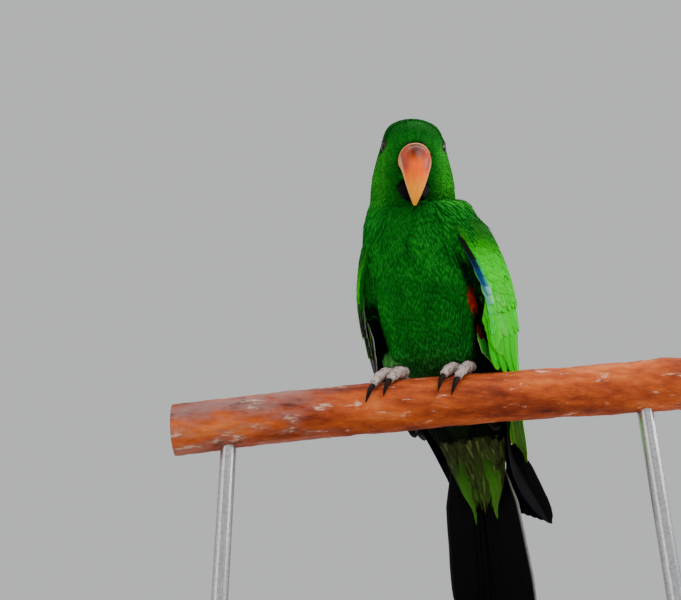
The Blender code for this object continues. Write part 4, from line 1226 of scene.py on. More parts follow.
def primaries(side):
    height, angle, flare, fan, twist = PRIMARY_TIP[side]
    black = plain_vane(FLIGHT_BLACK, FLIGHT_EDGE, 0.06, side=1, dark=0.9)
    blades = []
    for i in range(PRIMARY_COUNT):
        step = PRIMARY_SPAN * i / (PRIMARY_COUNT - 1)
        root_angle = -12 + 16 * step
        root = (edge_height(root_angle) - 4, root_angle)
        tip = (height + 4 * step, angle + fan * step)
        lean = [side * flare[0] * (1 - 0.25 * step), *flare[1:]]
        depths = (-10.4, -10.4)
        place = feather_place(WING_ROWS, side, root, tip, depths, 44.0, 0.9, lean, math.radians(twist))
        blades.append(blade(place, 9.0, black, thick=0.45, tilt=0.12, point=2.6, nick=0.03))
    return blades


# %% [markdown]
# The mantle covers the back between the wings. On each side it is laid first and then the wing's own
# layers, from one table that names each piece, its feathers and its finish.

# %% Mantle and all layers of both wings
MANTLE_ROWS = 15
MANTLE_ACROSS = 9


def mantle_feathers(side):
    """Rows over the back that close the gap between the folded wings, from the nape to the rump."""
    blades = []
    for row in range(MANTLE_ROWS):
        share = row / (MANTLE_ROWS - 1)
        sink = max(0.0, 1 - row / 3)
        for i in range(MANTLE_ACROSS):
            angle = 58 + 4.4 * (i + 0.5 * (row % 2)) + draw.normal(0, 1.1)
            root = (123 - 81 * share + draw.normal(0, 1.4), angle)
            tip = (root[0] - 12 - 7 * share, angle + draw.normal(0, 1.5))
            hue = wing_green(1, root[0] - 8, angle) * (0.95 + 0.08 * draw.normal())
            place = feather_place(WING_ROWS, side, root, tip, (-0.9 - 3 * sink, 0.2 - 1.2 * sink))
            colour = plain_vane(hue, WING, 0.1, dark=0.85, strength=0.08)
            half = 2.4 + 1.8 * share
            blades.append(blade(place, half, colour, thick=0.24, tilt=0.02, point=1.9, nick=0.08))
    return blades


# Name, master, feathers, finish, slot and the node it stands for
WING_LAYERS = (
    ("mantle_{}", scale_shape, mantle_feathers, covert_material, "plumage_green"),
    ("wing_{}_small_coverts", scale_shape, small_coverts, covert_material, "wing_green"),
    ("wing_{}_edge_coverts", blade_shape, edge_coverts, covert_material, "wing_green"),
    ("wing_{}_long_coverts", blade_shape, long_coverts, covert_material, "wing_green",
     "wing_{}_coverts"),
    ("wing_{}_secondaries_vanes", blade_shape, secondaries, flight_material, "wing_green",
     "wing_{}_secondaries"),
    ("wing_{}_primaries_vanes", blade_shape, primaries, flight_material, "flight_black",
     "wing_{}_primaries"),
)
for side, label in SIDES:
    for name, shape, feathers, material, slot, *replaced in WING_LAYERS:
        stood_for = [node.format(label) for node in replaced]
        make_blades(name.format(label), shape, feathers(side), material, slot, *stood_for)

# %% [markdown]
# The tail is a stack of twelve black feathers with the middle pair on top. They share one sloping
# sheet, and each is set a little lower than the one before it, so that they don't cut through.

# %% Tail feathers
TAIL_SLANT = 0.265
TAIL_PLACE = (-41.0, 80.0)
TAIL_START = -11.0
TAIL_TIP = -125.0
TAIL_PAIRS = 6
TAIL_PITCH = 0.85
TAIL_FAN = 21.0
TAIL_CURL = 0.004
TAIL_BLACK = linear(2, 2, 3)
TAIL_EDGE = linear(40, 42, 42)
TAIL_EDGE_HIGHLIGHT = linear(196, 196, 190)


def tail_place(root, tip, depth):
    """Middle surface of a feather on the tail's sheet; its normal points towards the belly."""
    normal = Vector((0, -1, -TAIL_SLANT)).normalized()

    def place(t, across):
        height = root[0] + (tip[0] - root[0]) * t
        sideways = root[1] + (tip[1] - root[1]) * t ** 0.8 + across
        back = TAIL_PLACE[1] - (height - TAIL_PLACE[0]) * TAIL_SLANT
        level = depth + TAIL_CURL * sideways * sideways
        return Vector((sideways, back, height)) + normal * level, normal
    return place


blades = []
for side in (-1, 1):
    for i in range(TAIL_PAIRS):
        share = (i + 0.5) / TAIL_PAIRS
        tip = (TAIL_TIP + 15 * share ** 2, side * TAIL_FAN * share)
        level = -2.2 + TAIL_PITCH * i - (0.4 if side < 0 else 0.0)
        # Painted highlight: the outermost feather on the bird's left gets a pale line along its edge
        outermost = side > 0 and i == TAIL_PAIRS - 1
        edge, rim = (TAIL_EDGE_HIGHLIGHT, 0.035) if outermost else (TAIL_EDGE, 0.05)
        place = tail_place((TAIL_START, side * 13 * share), tip, level)
        colour = plain_vane(TAIL_BLACK, edge, rim, side=side, dark=0.9)
        tilt = 0.02 * side
        blades.append(blade(
            place, 8.6, colour, thick=0.4, tilt=tilt, point=2.4, nick=0.02, camber=0.02))
make_blades("tail_vanes", blade_shape, blades, flight_material, "flight_black", "tail")

# %% [markdown]
# Loose olive feathers fill the place under the tail, and longer ones end over its root. Their angles
# and lengths are drawn at random, because these feathers are soft and never lie in order.

# %% Undertail coverts
OLIVE = linear(46, 52, 24)
OLIVE_TIP = linear(62, 122, 30)
OLIVE_EDGE = linear(122, 132, 72)
UNDERTAIL_ROW_COUNT = 15
# Long last coverts: root and tip angle, tip height, depth, half width
LAST_COVERTS = (
    (-160, -150, -40, 0.6, 4), (-20, -30, -38, 0.6, 4), (-112, -160, -54, 2.2, 3.6),
    (-66, -16, -52, 2.2, 3.6), (-122, -166, -46, 1.6, 3.2), (-58, -14, -45, 1.6, 3.2),
)


def olive_vane(green, depth=0.0):
    """Dark olive, at times with a fine yellow-green streak; green is the share of the clean green tip and
    depth a painted shade over the whole feather.
    """
    # Painted shade: depth darkens the whole feather
    base = (OLIVE * (1 - green) + OLIVE_TIP * green) * (0.6 + 0.7 * draw.random()) * (1 - depth)
    streak = (OLIVE_EDGE if draw.random() < 0.24 else OLIVE * 1.8) * (1 - depth)
    place = draw.uniform(-0.8, 0.8)

    def colour(x, t):
        share = np.exp(-((x - place) / 0.3) ** 2) * smooth_step(0.25, 0.6, t) * 0.6
        # Painted shade: darker towards the root, which the next feathers cover
        shade = 0.45 + 0.55 * smooth_step(0.0, 0.6, t)
        return blend(np.tile(base, (len(x), 1)), streak, share) * shade[:, None]
    return colour


blades = []
for row in range(UNDERTAIL_ROW_COUNT):
    height = 17.6 - 3.3 * row
    count = 26 - row
    for i in range(count):
        angle = -90 + (i - (count - 1) / 2) * (172 / count)
        root = (height + draw.normal(0, 1.6), angle + draw.normal(0, 3))
        tip = (height - 16 - 4 * draw.random(), angle + (angle + 90) * 0.14 + draw.normal(0, 9))
        # Painted shadow: the rows high up under the branch get a deeper painted shade
        blades.append(blade(
            feather_place(UNDERTAIL_ROWS, 1, root, tip, (-0.8, 0.5 + 0.5 * draw.random()), 14.0, 1.0),
            1.5 + 0.5 * draw.random(),
            olive_vane(0.05 * max(0, row - 3) * draw.random(), 0.4 * smooth_step(3, 12, height)),
            thick=0.2, tilt=0.05, point=1.15, nick=0.3,
        ))
make_blades("undertail_tufts", scale_shape, blades, covert_material, "undertail_olive")

blades = []
for root, tip, height, depth, half in LAST_COVERTS:
    place = feather_place(UNDERTAIL_ROWS, 1, (-19, root), (height, tip), (0.3, depth), 11.0, 1.0)
    colour = olive_vane(smooth_step(-36, -52, height))
    blades.append(blade(place, half, colour, thick=0.3, tilt=0.05, point=1.3, nick=0.12))
make_blades(
    "undertail_vanes", blade_shape, blades, covert_material, "undertail_olive", "undertail_coverts")

# %% [markdown]
# Three rows of green feathers lie over the root of the tail. They lie on the tail's own sheet, raised
# row by row.

# %% Uppertail coverts
blades = []
for row in range(3):
    for i in range(7 - row):
        across = (i - (6 - row) / 2) * 3.8
        root = (6 - 6 * row, across * 0.7)
        tip = (-22 - 5 * row + 0.08 * across * across, across * 1.15)
        place = tail_place(root, tip, -6.2 + 0.9 * row - 0.35 * (i % 2))
        colour = plain_vane(MANTLE, WING, 0.1)
        blades.append(blade(place, 5.2, colour, thick=0.35, tilt=0.0, camber=-0.06))
make_blades(
    "uppertail_vanes", blade_shape, blades, covert_material, "plumage_green", "uppertail_coverts")

# %% [markdown]
# Horn, skin and bark are round things. Each starts as a flat grid that is rolled into a tube: every
# vertex takes its place on a ring, the seam is merged and the ends are closed.

# %% Rolling a grid into a tube


def rolled_tube(name, ring_at, sides, rings, material):
    """ring_at(t, turn) gives the world place for a share t along and a turn around."""
    bpy.ops.object.select_all(action="DESELECT")
    bpy.ops.mesh.primitive_grid_add(x_subdivisions=sides, y_subdivisions=rings, size=2)
    piece = bpy.context.object
    piece.name = name
    shares = []
    for vertex in piece.data.vertices:
        turn = (vertex.co.x + 1) / 2
        along = (vertex.co.y + 1) / 2
        shares.append((turn, along))
        vertex.co = ring_at(along, turn * math.tau)
    add_point_map(piece.data, "Growth", np.array(shares))
    bpy.ops.object.mode_set(mode="EDIT")
    bpy.ops.mesh.select_all(action="SELECT")
    bpy.ops.mesh.remove_doubles(threshold=0.000002)
    bpy.ops.mesh.select_all(action="DESELECT")
    bpy.ops.mesh.select_non_manifold()
    bpy.ops.mesh.edge_face_add()
    bpy.ops.mesh.select_all(action="SELECT")
    bpy.ops.mesh.normals_make_consistent(inside=False)
    bpy.ops.object.mode_set(mode="OBJECT")
    piece.data.uv_layers.remove(piece.data.uv_layers["UVMap"])
    piece.data.materials.append(material)
    piece.data.shade_smooth()
    print(name, "faces:", len(piece.data.polygons))
    return piece


def plain_tube(name, ring_at, sides, rings, material, colour, slot, *replaced):
    """A rolled tube of one colour, handed over."""
    piece = rolled_tube(name, ring_at, sides, rings, material)
    add_point_colour(piece.data, colour)
    hand_over(piece, slot, *replaced)


# %% [markdown]
# The bill is layered horn: dark red-brown where it leaves the forehead, orange over its curve and
# yellow at the tip, with a soft gloss. The lower half is black and shows only at its sides.

# %% Bill
UPPER_BILL_ROWS = (
    (8, -9.0, 0, 8.8, 9.1),
    (14, -8.8, 0, 9.3, 9.5),
    (19.8, -8.9, 12, 9.5, 10.0),
    (25.2, -11.0, 36, 9.2, 10.1),
    (30.1, -15.6, 60, 7.9, 8.3),
    (33.1, -22.3, 78, 5.9, 5.8),
    (34.1, -28.6, 90, 3.6, 3.5),
    (33.6, -34.8, 100, 0.9, 0.9),
)
LOWER_BILL_ROWS = (
    (3, -24, 4, 8.4, 5.0),
    (9, -24.8, 5, 9, 5.5),
    (16, -25.8, 12, 9.6, 5.6),
    (22.3, -27.6, 27, 9.0, 5.2),
    (27, -30.8, 44, 6.4, 3.2),
)


def bill_ring(rows):
    def ring_at(t, turn):
        forward, up, droop, width, depth = read_rows(rows, t * (len(rows) - 1))
        slope = math.radians(droop)
        off = depth * math.sin(turn)
        spot = (width * math.cos(turn), forward + off * math.sin(slope), up + off * math.cos(slope))
        return HEAD @ Vector(spot)
    return ring_at


def tinted_horn(name, roughness, specular, coat, streak):
    """Horn coloured by the tint attribute with fine growth lines along the bill."""
    made, tree, shader = new_material(name, roughness, specular, coat, 0.28)
    growth = add_node(tree, "UVMap", uv_map="Growth")["UV"]
    stretched = add_node(tree, "Mapping", {"Vector": growth, "Scale": (26, 5, 1)})["Vector"]
    grain = noise_value(tree, stretched, 1.6, 4)
    shade = remap(tree, grain, 0.25, 0.75, 1 - streak, 1 + streak)
    dress(tree, shader, shaded_tint(tree, shade), grain, 0.25, 0.15)
    return made


BILL_ORANGE = linear(252, 96, 0)
BILL_ROOT_RED = linear(44, 8, 4)
BILL_FLANK = linear(158, 58, 46)
BILL_TIP = linear(255, 156, 0)
BILL_CREAM = linear(236, 176, 120)
BILL_DARK = linear(2, 2, 3)
bill_horn = tinted_horn("bill_horn", 0.4, 0.06, 0.24, 0.14)
dark_horn = tinted_horn("dark_horn", 0.6, 0.06, 0.0, 0.3)

bill_upper = rolled_tube("bill_upper_horn", bill_ring(UPPER_BILL_ROWS), 48, 70, bill_horn)
mesh = bill_upper.data
beside, _, height = in_frame(vertex_arrays(mesh)[0], HEAD).T
beside = np.abs(beside)
turn = np.zeros(len(beside))
corners = [loop.vertex_index for loop in mesh.loops]
turn[corners] = [item.uv[0] for item in mesh.uv_layers["Growth"].data]
below = np.sin(turn * math.tau)
colour = np.tile(BILL_ORANGE, (len(beside), 1))
flank = smooth_step(2.5, 5.5, beside) * smooth_step(-18, -12, height)
colour = blend(colour, BILL_FLANK, flank * 0.85)
ridge = smooth_step(-12, -4, height) * smooth_step(7, 2, beside)
colour = blend(colour, BILL_ROOT_RED, ridge * 0.92)
colour = blend(colour, BILL_TIP, smooth_step(-14, -27, height))
cream = smooth_step(-0.62, -0.3, below) * smooth_step(0.36, 0.22, below)
colour = blend(colour, BILL_CREAM, cream * 0.85)
add_point_colour(mesh, colour)
hand_over(bill_upper, "bill_orange", "bill_upper")
plain_tube(
    "bill_lower_horn", bill_ring(LOWER_BILL_ROWS), 36, 36, dark_horn, BILL_DARK, "bill_black",
    "bill_lower")

# %% [markdown]
# A thin pale rim of bare skin, the cere, frames the root of the upper bill. Two small nostrils open
# just over it, each a raised ring round a flat near-black disc of painted shade.

# %% Cere and nostrils
CERE_RADIUS = 0.55
CERE_COLOUR = linear(226, 160, 104)
# First and last turn round the bill; its row at the sides and how much further on at the top
CERE_SPAN = (math.radians(-35), math.radians(215))
CERE_PLACE = (0.92, 1.05)
NOSTRIL_PLACE = (4.9, 1.6)
# A line from this far in front of the head finds the nostril's place on the skin
NOSTRIL_START = 45
NOSTRIL_RADIUS = 0.6
NOSTRIL_RIM = 0.24
NOSTRIL_COLOUR = linear(48, 34, 18)
cere_skin = tinted_horn("cere_skin", 0.6, 0.25, 0.0, 0.2)


def cere_middle(t):
    around = CERE_SPAN[0] + (CERE_SPAN[1] - CERE_SPAN[0]) * t
    place = CERE_PLACE[0] + CERE_PLACE[1] * max(0.0, math.sin(around)) ** 1.2
    return bill_ring(UPPER_BILL_ROWS)(place / (len(UPPER_BILL_ROWS) - 1), around)


def thin_ring(middle_at, axis_at, radius):
    """Rings round a curve for rolled_tube; both functions take the share along it."""
    def ring_at(t, turn):
        centre = middle_at(t)
        ahead = (middle_at(min(t + 0.01, 1.0)) - middle_at(max(t - 0.01, 0.0))).normalized()
        side = ahead.cross(axis_at(t)).normalized()
        up = side.cross(ahead).normalized()
        taper = min(1.0, 0.25 + 9 * t, 0.25 + 9 * (1 - t))
        return centre + (side * math.cos(turn) + up * math.sin(turn)) * radius * MM * taper
    return ring_at


def head_way(x, y, z):
    """A direction of the head's frame in the world."""
    return (HEAD.to_3x3() @ Vector((x, y, z))).normalized()


def rim_at(centre, facing, level, upright, radius, rim, height=0.0):
    """Rings of a small ring that faces away from the head; sizes are in millimetres."""
    def ring_at(t, turn):
        out = level * math.cos(t * math.tau) + upright * math.sin(t * math.tau)
        spot = out * (radius + rim * math.cos(turn))
        return centre + (spot + facing * (rim * math.sin(turn) + height)) * MM
    return ring_at


def ball(name, radius, segments, rings, place, material):
    bpy.ops.object.select_all(action="DESELECT")
    bpy.ops.mesh.primitive_uv_sphere_add(
        segments=segments, ring_count=rings, radius=radius * MM, location=(0, 0, 0))
    made = bpy.context.object
    made.name = name
    made.data.transform(place)
    made.data.shade_smooth()
    made.data.materials.append(material)
    return made


head_ahead = head_way(0, 1, 0)
cere_ring = thin_ring(cere_middle, lambda t: head_ahead, CERE_RADIUS)
plain_tube("cere", cere_ring, 12, 60, cere_skin, CERE_COLOUR, "bill_orange")
for side, label in SIDES:
    start = HEAD @ Vector((side * NOSTRIL_PLACE[0], NOSTRIL_START, NOSTRIL_PLACE[1]))
    pit = skin_tree.ray_cast(start, -head_ahead)[0]
    outward = head_way(0.35 * side, 1, 0.35)
    level = outward.cross(Vector((0, 0, 1))).normalized()
    ring = rim_at(pit, outward, level, level.cross(outward), NOSTRIL_RADIUS, NOSTRIL_RIM, 0.2)
    plain_tube(f"nostril_rim_{label}", ring, 10, 28, cere_skin, NOSTRIL_COLOUR, "bill_orange")
    # Painted shade: a flat near-black disc stands for the shade inside the nostril
    facing = outward.to_track_quat("Z", "Y").to_matrix().to_4x4()
    flat = Matrix.Translation(pit) @ facing @ Matrix.Diagonal((1, 1, 0.35, 1))
    dark = ball(f"nostril_shade_disc_{label}", NOSTRIL_RADIUS, 20, 12, flat, dark_horn)
    add_point_map(dark.data, "Growth", np.zeros((len(dark.data.vertices), 2)))
    add_point_colour(dark.data, BILL_DARK)
    hand_over(dark, "bill_black")

# %% [markdown]
# The eye is a glossy ball: a black pupil, a dark orange iris round it and a dark rim. The bare lid is a
# ring of fine dark skin that frames it.

# %% Eyes and lids
EYE_RADIUS = 5.4
EYE_PLACE = (14.6, -0.3, -0.8)
EYE_TURN = math.radians(17)
LID_REACH = 3.9
LID_RADIUS = 4.35
LID_THICKNESS = 0.55
PUPIL = 2.9
IRIS = 3.9
IRIS_COLOUR = linear(64, 22, 5)
LID_COLOUR = linear(14, 20, 12)
EYE_BLACK = linear(8, 6, 6)


def eye_spot(side, reach):
    return HEAD @ Vector((
        side * (EYE_PLACE[0] + reach * math.cos(EYE_TURN)),
        EYE_PLACE[1] + reach * math.sin(EYE_TURN),
        EYE_PLACE[2],
    ))


eye_glass, tree, shader = new_material("eye_gloss", 0.12, 0.5, 0.06, 0.02)
shader.inputs["IOR"].default_value = 1.28
dress(tree, shader, add_node(tree, "Attribute", attribute_name="tint")["Color"])
lid_skin = tinted_horn("lid_skin", 0.7, 0.12, 0.0, 0.35)

for side, label in SIDES:
    middle = eye_spot(side, 0)
    axis = (eye_spot(side, 1) - middle).normalized()
    turned = Matrix.Translation(middle) @ axis.to_track_quat("Z", "Y").to_matrix().to_4x4()
    eye = ball(f"eye_{label}_ball", EYE_RADIUS, 48, 32, turned, eye_glass)
    offset = (vertex_arrays(eye.data)[0] - np.array(middle)) / MM
    reach = offset @ np.array(axis)
    ring = np.linalg.norm(offset - reach[:, None] * np.array(axis), axis=1)
    iris = smooth_step(PUPIL - 0.15, PUPIL + 0.15, ring) * smooth_step(IRIS + 0.3, IRIS - 0.1, ring)
    black = np.tile(EYE_BLACK, (len(ring), 1))
    add_point_colour(eye.data, blend(black, IRIS_COLOUR, iris * (reach > 0)))
    hand_over(eye, "eye_dark", f"eye_{label}")

    up = head_way(0, 0, 1)
    over = axis.cross(up).normalized()
    centre = eye_spot(side, LID_REACH)

    def lid_ring(t, turn):
        out = over * math.cos(t * math.tau) + up * math.sin(t * math.tau)
        crease = 1 + 0.1 * math.cos(turn * 3) + 0.05 * math.sin(t * math.tau * 23)
        spot = out * (LID_RADIUS + LID_THICKNESS * crease * math.cos(turn))
        return centre + (spot + axis * LID_THICKNESS * crease * math.sin(turn)) * MM

    plain_tube(f"lid_{label}", lid_ring, 12, 72, lid_skin, LID_COLOUR, "eye_dark")

# %% [markdown]
# Feet are grey and scaly. The plates on top are in the shape, and the small round scales are in the
# finish: a cell pattern for their seams, and dark speckles in the attribute tint.

# %% Skin of the feet
FOOT_GREY = linear(192, 172, 164)
FOOT_DARK = linear(66, 50, 46)

foot_scales, tree, shader = new_material("foot_scales", 0.55, 0.4)
cells = {"Vector": object_place(tree), "Scale": 1100}
seam = add_node(tree, "TexVoronoi", cells, feature="DISTANCE_TO_EDGE")["Distance"]
seam = remap(tree, seam, 0.0, 0.14, 0.3, 1.1)
dress(tree, shader, shaded_tint(tree, seam), seam, 0.6, 0.25)


def scaly_tube(name, ring_at, sides, rings, *replaced):
    """A rolled tube with dark speckles between its scales."""
    piece = rolled_tube(name, ring_at, sides, rings, foot_scales)
    points, _ = vertex_arrays(piece.data)
    speckle = np.array([noise.noise(Vector(point) * 900) for point in points])
    grey = np.tile(FOOT_GREY, (len(points), 1))
    add_point_colour(piece.data, blend(grey, FOOT_DARK, smooth_step(0.1, 0.55, speckle)))
    hand_over(piece, "foot_skin", *replaced)


# %% [markdown]
# A perching parrot's toes grip two forwards and two backwards. Each bends round the branch, so its
# middle line is given by turns over the branch's axis, and broad plates run over its top.

# %% Toes and claws
PERCH_RADIUS = 14.7
GAP = 0.3
FOOT_PLACES = {"left": 19.0, "right": -20.0}
# Toes of the left foot: start and end along the branch, first and last turn over it
TOES = {
    "inner_front": (-4.3, -16, 1, 56),
    "outer_front": (4.3, -8.5, 1, 66),
    "inner_back": (-4.3, 1, -19, -96),
    "outer_back": (4.3, 12.5, -19, -122),
}
TOE_RADIUS = 3.7
TOE_TAPER = 0.78
TOE_KNUCKLE = 0.22
SCUTES = 13
CLAW_RADIUS = 2.1
CLAW_SHAPE = (1, 0.86, 0.55, 0.12)
CLAW_ROUTE = ((1.6, 3.3), (12, 4.4), (23, 4.0), (32, 1.9))
CLAW_BLACK = linear(30, 24, 24)


def perch_point(along, turn, reach):
    return Vector((along, -reach * math.sin(turn), reach * math.cos(turn)))


def toe_pieces(label, toe, start, shift, first, last):
    """A toe and its claw: the place along the branch and its shift, first and last turn in degrees."""
    heading = math.copysign(1.0, last - first)

    def toe_ring(t, turn):
        radius = TOE_RADIUS * (1 - (1 - TOE_TAPER) * t)
        spot = math.radians(first + (last - first) * t)
        centre = perch_point(start + shift * t, spot, PERCH_RADIUS + 2 * GAP + radius)
        up = perch_point(0, spot, 1)
        away = perch_point(0, spot + math.radians(90) * heading, 1)
        arc = away * math.radians(abs(last - first)) * (PERCH_RADIUS + radius)
        ahead = (arc + Vector((shift, 0, 0))).normalized()
        side = ahead.cross(up).normalized()
        body = radius - GAP + TOE_KNUCKLE * math.cos(t * math.tau * 3)
        root_end = math.sqrt(max(0.04, 1 - max(0.0, 1 - t * 9) ** 2))
        ends = root_end * math.sqrt(max(0.3, 1 - max(0.0, t * 9 - 8) ** 2))
        over = max(0.0, math.sin(turn))
        plate = ((t * SCUTES) % 1.0) * 0.34 * over ** 0.7
        pad = 0.25 * max(0.0, -math.sin(turn)) * math.cos(t * math.tau * 3)
        reach = (body - 0.16 + plate + pad) * ends
        return PERCH @ (centre + side * reach * math.cos(turn) + up * reach * math.sin(turn))

    scaly_tube(f"toe_{label}_{toe}_scales", toe_ring, 20, 104, f"toe_{label}_{toe}")

    def claw_ring(t, turn):
        degrees, reach = read_rows(CLAW_ROUTE, t * (len(CLAW_ROUTE) - 1))
        radius = CLAW_RADIUS * read_rows([(share,) for share in CLAW_SHAPE], t * 3)[0]
        spot = math.radians(last + heading * degrees)
        centre = perch_point(start + shift * (1 + 0.012 * degrees), spot, PERCH_RADIUS + reach)
        up = perch_point(0, spot, 1)
        side = Vector((1, 0, 0))
        tall = 1.05 if math.sin(turn) > 0 else 0.9
        out = side * radius * 0.86 * math.cos(turn) + up * radius * tall * math.sin(turn)
        return PERCH @ (centre + out)

    claw = f"claw_{label}_{toe}"
    plain_tube(claw + "_horn", claw_ring, 18, 30, dark_horn, CLAW_BLACK, "claw_black", claw)


# %% [markdown]
# The short leg bone above the toes, the tarsus, stands on the branch and leans back into the belly
# feathers. It is a tube along a route through five points, and both feet are then made in one loop.

# %% Tarsi and both feet
TARSUS_SHAPE = (3.6, 4.6, 3.7, 3.5, 4.0)
ANKLE_TURN = math.radians(-9)
TARSUS_TOP = Vector((0, 12, 36))
# Where the tarsus widens into the foot, above the branch
TARSUS_BASE = 4.6


def along_route(route, t):
    """Point and direction on a smooth route through points, in the branch's frame."""
    last = len(route) - 1
    here, ahead, behind = (
        Vector(read_rows(route, share * last)) for share in (t, min(t + 0.02, 1), max(t - 0.02, 0)))
    return here, (ahead - behind).normalized()


def tarsus_piece(label, ankle):
    sole = perch_point(ankle, ANKLE_TURN, PERCH_RADIUS + 0.8)
    base = perch_point(ankle, ANKLE_TURN, PERCH_RADIUS + TARSUS_BASE)
    top = Vector((ankle, 0, 0)) + TARSUS_TOP
    route = [tuple(point) for point in (sole, base, base.lerp(top, 0.4), base.lerp(top, 0.75), top)]

    def tarsus_ring(t, turn):
        centre, ahead = along_route(route, t)
        radius = read_rows([(size,) for size in TARSUS_SHAPE], t * 4)[0]
        across = ahead.cross(Vector((0, 1, 0))).normalized()
        front_way = across.cross(ahead).normalized()
        plate = ((t * 11) % 1.0) * 0.25 * max(0.0, -math.sin(turn)) ** 0.7
        reach = radius - 0.12 + plate
        return PERCH @ (centre + across * reach * math.cos(turn) + front_way * reach * math.sin(turn))

    scaly_tube(f"tarsus_{label}_scales", tarsus_ring, 24, 80, f"tarsus_{label}")


for side, label in SIDES:
    ankle = FOOT_PLACES[label]
    for toe, (start, end, first, last) in TOES.items():
        toe_pieces(label, toe, ankle + start * side, end - start, first, last)
    tarsus_piece(label, ankle)

# %% [markdown]
# Some feathers hang free. Belly feathers cover the top of each leg, a tuft with yellow-green edges and a
# small maroon feather show in front of the left wing, and inner primaries fill the wing tip.

# %% Loose feathers
CUFF_COUNT = 30
MAROON = linear(92, 22, 16)
FLANK_GREEN = linear(44, 160, 44)
FLANK_EDGE = linear(190, 226, 120)


def hanging_place(root, tip, facing, bulge):
    """Middle surface of a loose feather between two places in the bird's frame."""
    fall = tip - root
    out = (facing - fall * facing.dot(fall) / fall.dot(fall)).normalized()
    across_way = fall.cross(out).normalized()

    def place(t, across):
        return root + fall * t + out * bulge * math.sin(math.pi * t) + across_way * across, out
    return place


to_bird = BIRD.inverted() @ PERCH
blades = []
for ankle in FOOT_PLACES.values():
    high = Vector((ankle, 0, 0)) + TARSUS_TOP
    low = perch_point(ankle, ANKLE_TURN, PERCH_RADIUS + TARSUS_BASE)
    for i in range(CUFF_COUNT):
        turn = math.tau * i / CUFF_COUNT
        ring = Vector((math.cos(turn), 0.9 * math.sin(turn), 0.12 * math.sin(turn)))
        start = low.lerp(high, 1.0 + 0.15 * draw.random()) + ring * (6.0 + draw.random())
        end = low.lerp(high, 0.28 + 0.14 * draw.random()) + ring * (6.6 + 0.8 * draw.random())
        place = hanging_place(to_bird @ start, to_bird @ end, to_bird.to_3x3() @ ring, 0.8)
        colour = plain_vane(BELLY * (0.8 + 0.5 * draw.random()), BREAST, 0.2, dark=0.6, strength=0.4)
        blades.append(blade(place, 1.7, colour, thick=0.2, tilt=0.03, point=1.2, nick=0.25))
make_blades("leg_cuffs", scale_shape, blades, covert_material, "plumage_green")

blades = []
facing = Vector((0.75, -0.65, 0.0))
green = plain_vane(FLANK_GREEN, FLANK_EDGE, 0.12, dark=0.7, strength=0.7)
for i in range(6):
    root = Vector((27.0 + 0.5 * i, -1.0 + 2.4 * i, 38 - 1.4 * i))
    tip = Vector((29.0 + 0.8 * i, 3.0 + 3.2 * i, 25.5 - 1.0 * i))
    place = hanging_place(root, tip, facing, 1.2)
    blades.append(blade(place, 2.6, green, thick=0.25, tilt=0.06, point=1.7, nick=0.1))
place = hanging_place(Vector((27.6, -4, 42)), Vector((28.6, 0.5, 33)), facing, 0.8)
maroon = plain_vane(MAROON, FLANK_RED, 0.15, dark=0.6, strength=0.3)
blades.append(blade(place, 2.0, maroon, thick=0.25, point=1.3, nick=0.2))
make_blades("flank_tuft", blade_shape, blades, covert_material, "plumage_green")

blades = []
facing = Vector((0.25, -0.92, -0.28))
black = plain_vane(FLIGHT_BLACK, FLIGHT_EDGE, 0.06, side=1, dark=0.9)
for i in range(5):
    share = i / 4
    root = Vector((23.5 - 4 * share, 74 + 5 * share, -8 - 4 * share))
    tip = Vector((37.2 - 17 * share, 96.6 + 4.4 * share, -53.2 + 7.5 * share))
    place = hanging_place(root, tip, facing, 1.0)
    blades.append(blade(place, 5.2, black, thick=0.4, tilt=0.03, point=2.8, nick=0.02))
make_blades("wing_left_inner_primaries", blade_shape, blades, flight_material, "flight_black")

# %% [markdown]
# The branch keeps its thin reddish bark, with pale flakes where it peels and a few knots. Its ends are
# sawn: pale wood with growth rings inside a dark line of bark.

# %% Branch
PERCH_LENGTH = 300.0
PERCH_BOW = 0.13 * MM
# Knots: place along the branch, turn in degrees and height
PERCH_KNOTS = ((-96, 200.0, 1.6), (104, 40.0, 2.6), (132, 130.0, 2.2))
KNOT_SPREAD = 13.0


def bark_radius(along, turn):
    radius = PERCH_RADIUS + 0.35 * math.sin(along / 21) * math.cos(turn * 2 + 0.6)
    for centre, direction, size in PERCH_KNOTS:
        away = math.exp(-((along - centre) / KNOT_SPREAD) ** 2)
        facing = max(0.0, math.cos(turn - math.radians(direction)))
        radius += size * away * facing ** 2
    place = Vector((along * 0.045, math.cos(turn) * 1.3, math.sin(turn) * 1.3))
    fine = Vector((along * 0.22, math.cos(turn) * 4, math.sin(turn) * 4))
    ridge = noise.noise(place) * 0.45 + noise.noise(fine) * 0.28
    flake = max(0.0, noise.noise(place * 1.7 + Vector((4, 1, 7))) - 0.12)
    return radius - 0.25 + ridge - min(0.35, flake * 2.5)


def bark_ring(t, turn):
    along = PERCH_LENGTH * (t - 0.5)
    radius = bark_radius(along, turn)
    sag = -PERCH_BOW * along * along
    return PERCH @ Vector((along, radius * math.cos(turn), sag + radius * math.sin(turn)))


bark, tree, bark_shader = new_material("branch_bark", 0.7, 0.18)
along_bark = {"Vector": object_place(tree), "Rotation": (0, PERCH_TILT, 0), "Scale": (0.3, 1, 1)}
stretched = add_node(tree, "Mapping", along_bark)["Vector"]


def bark_patches(scale, detail, rough, low, high, most):
    return remap(tree, noise_value(tree, stretched, scale, detail, rough), low, high, 0, most)


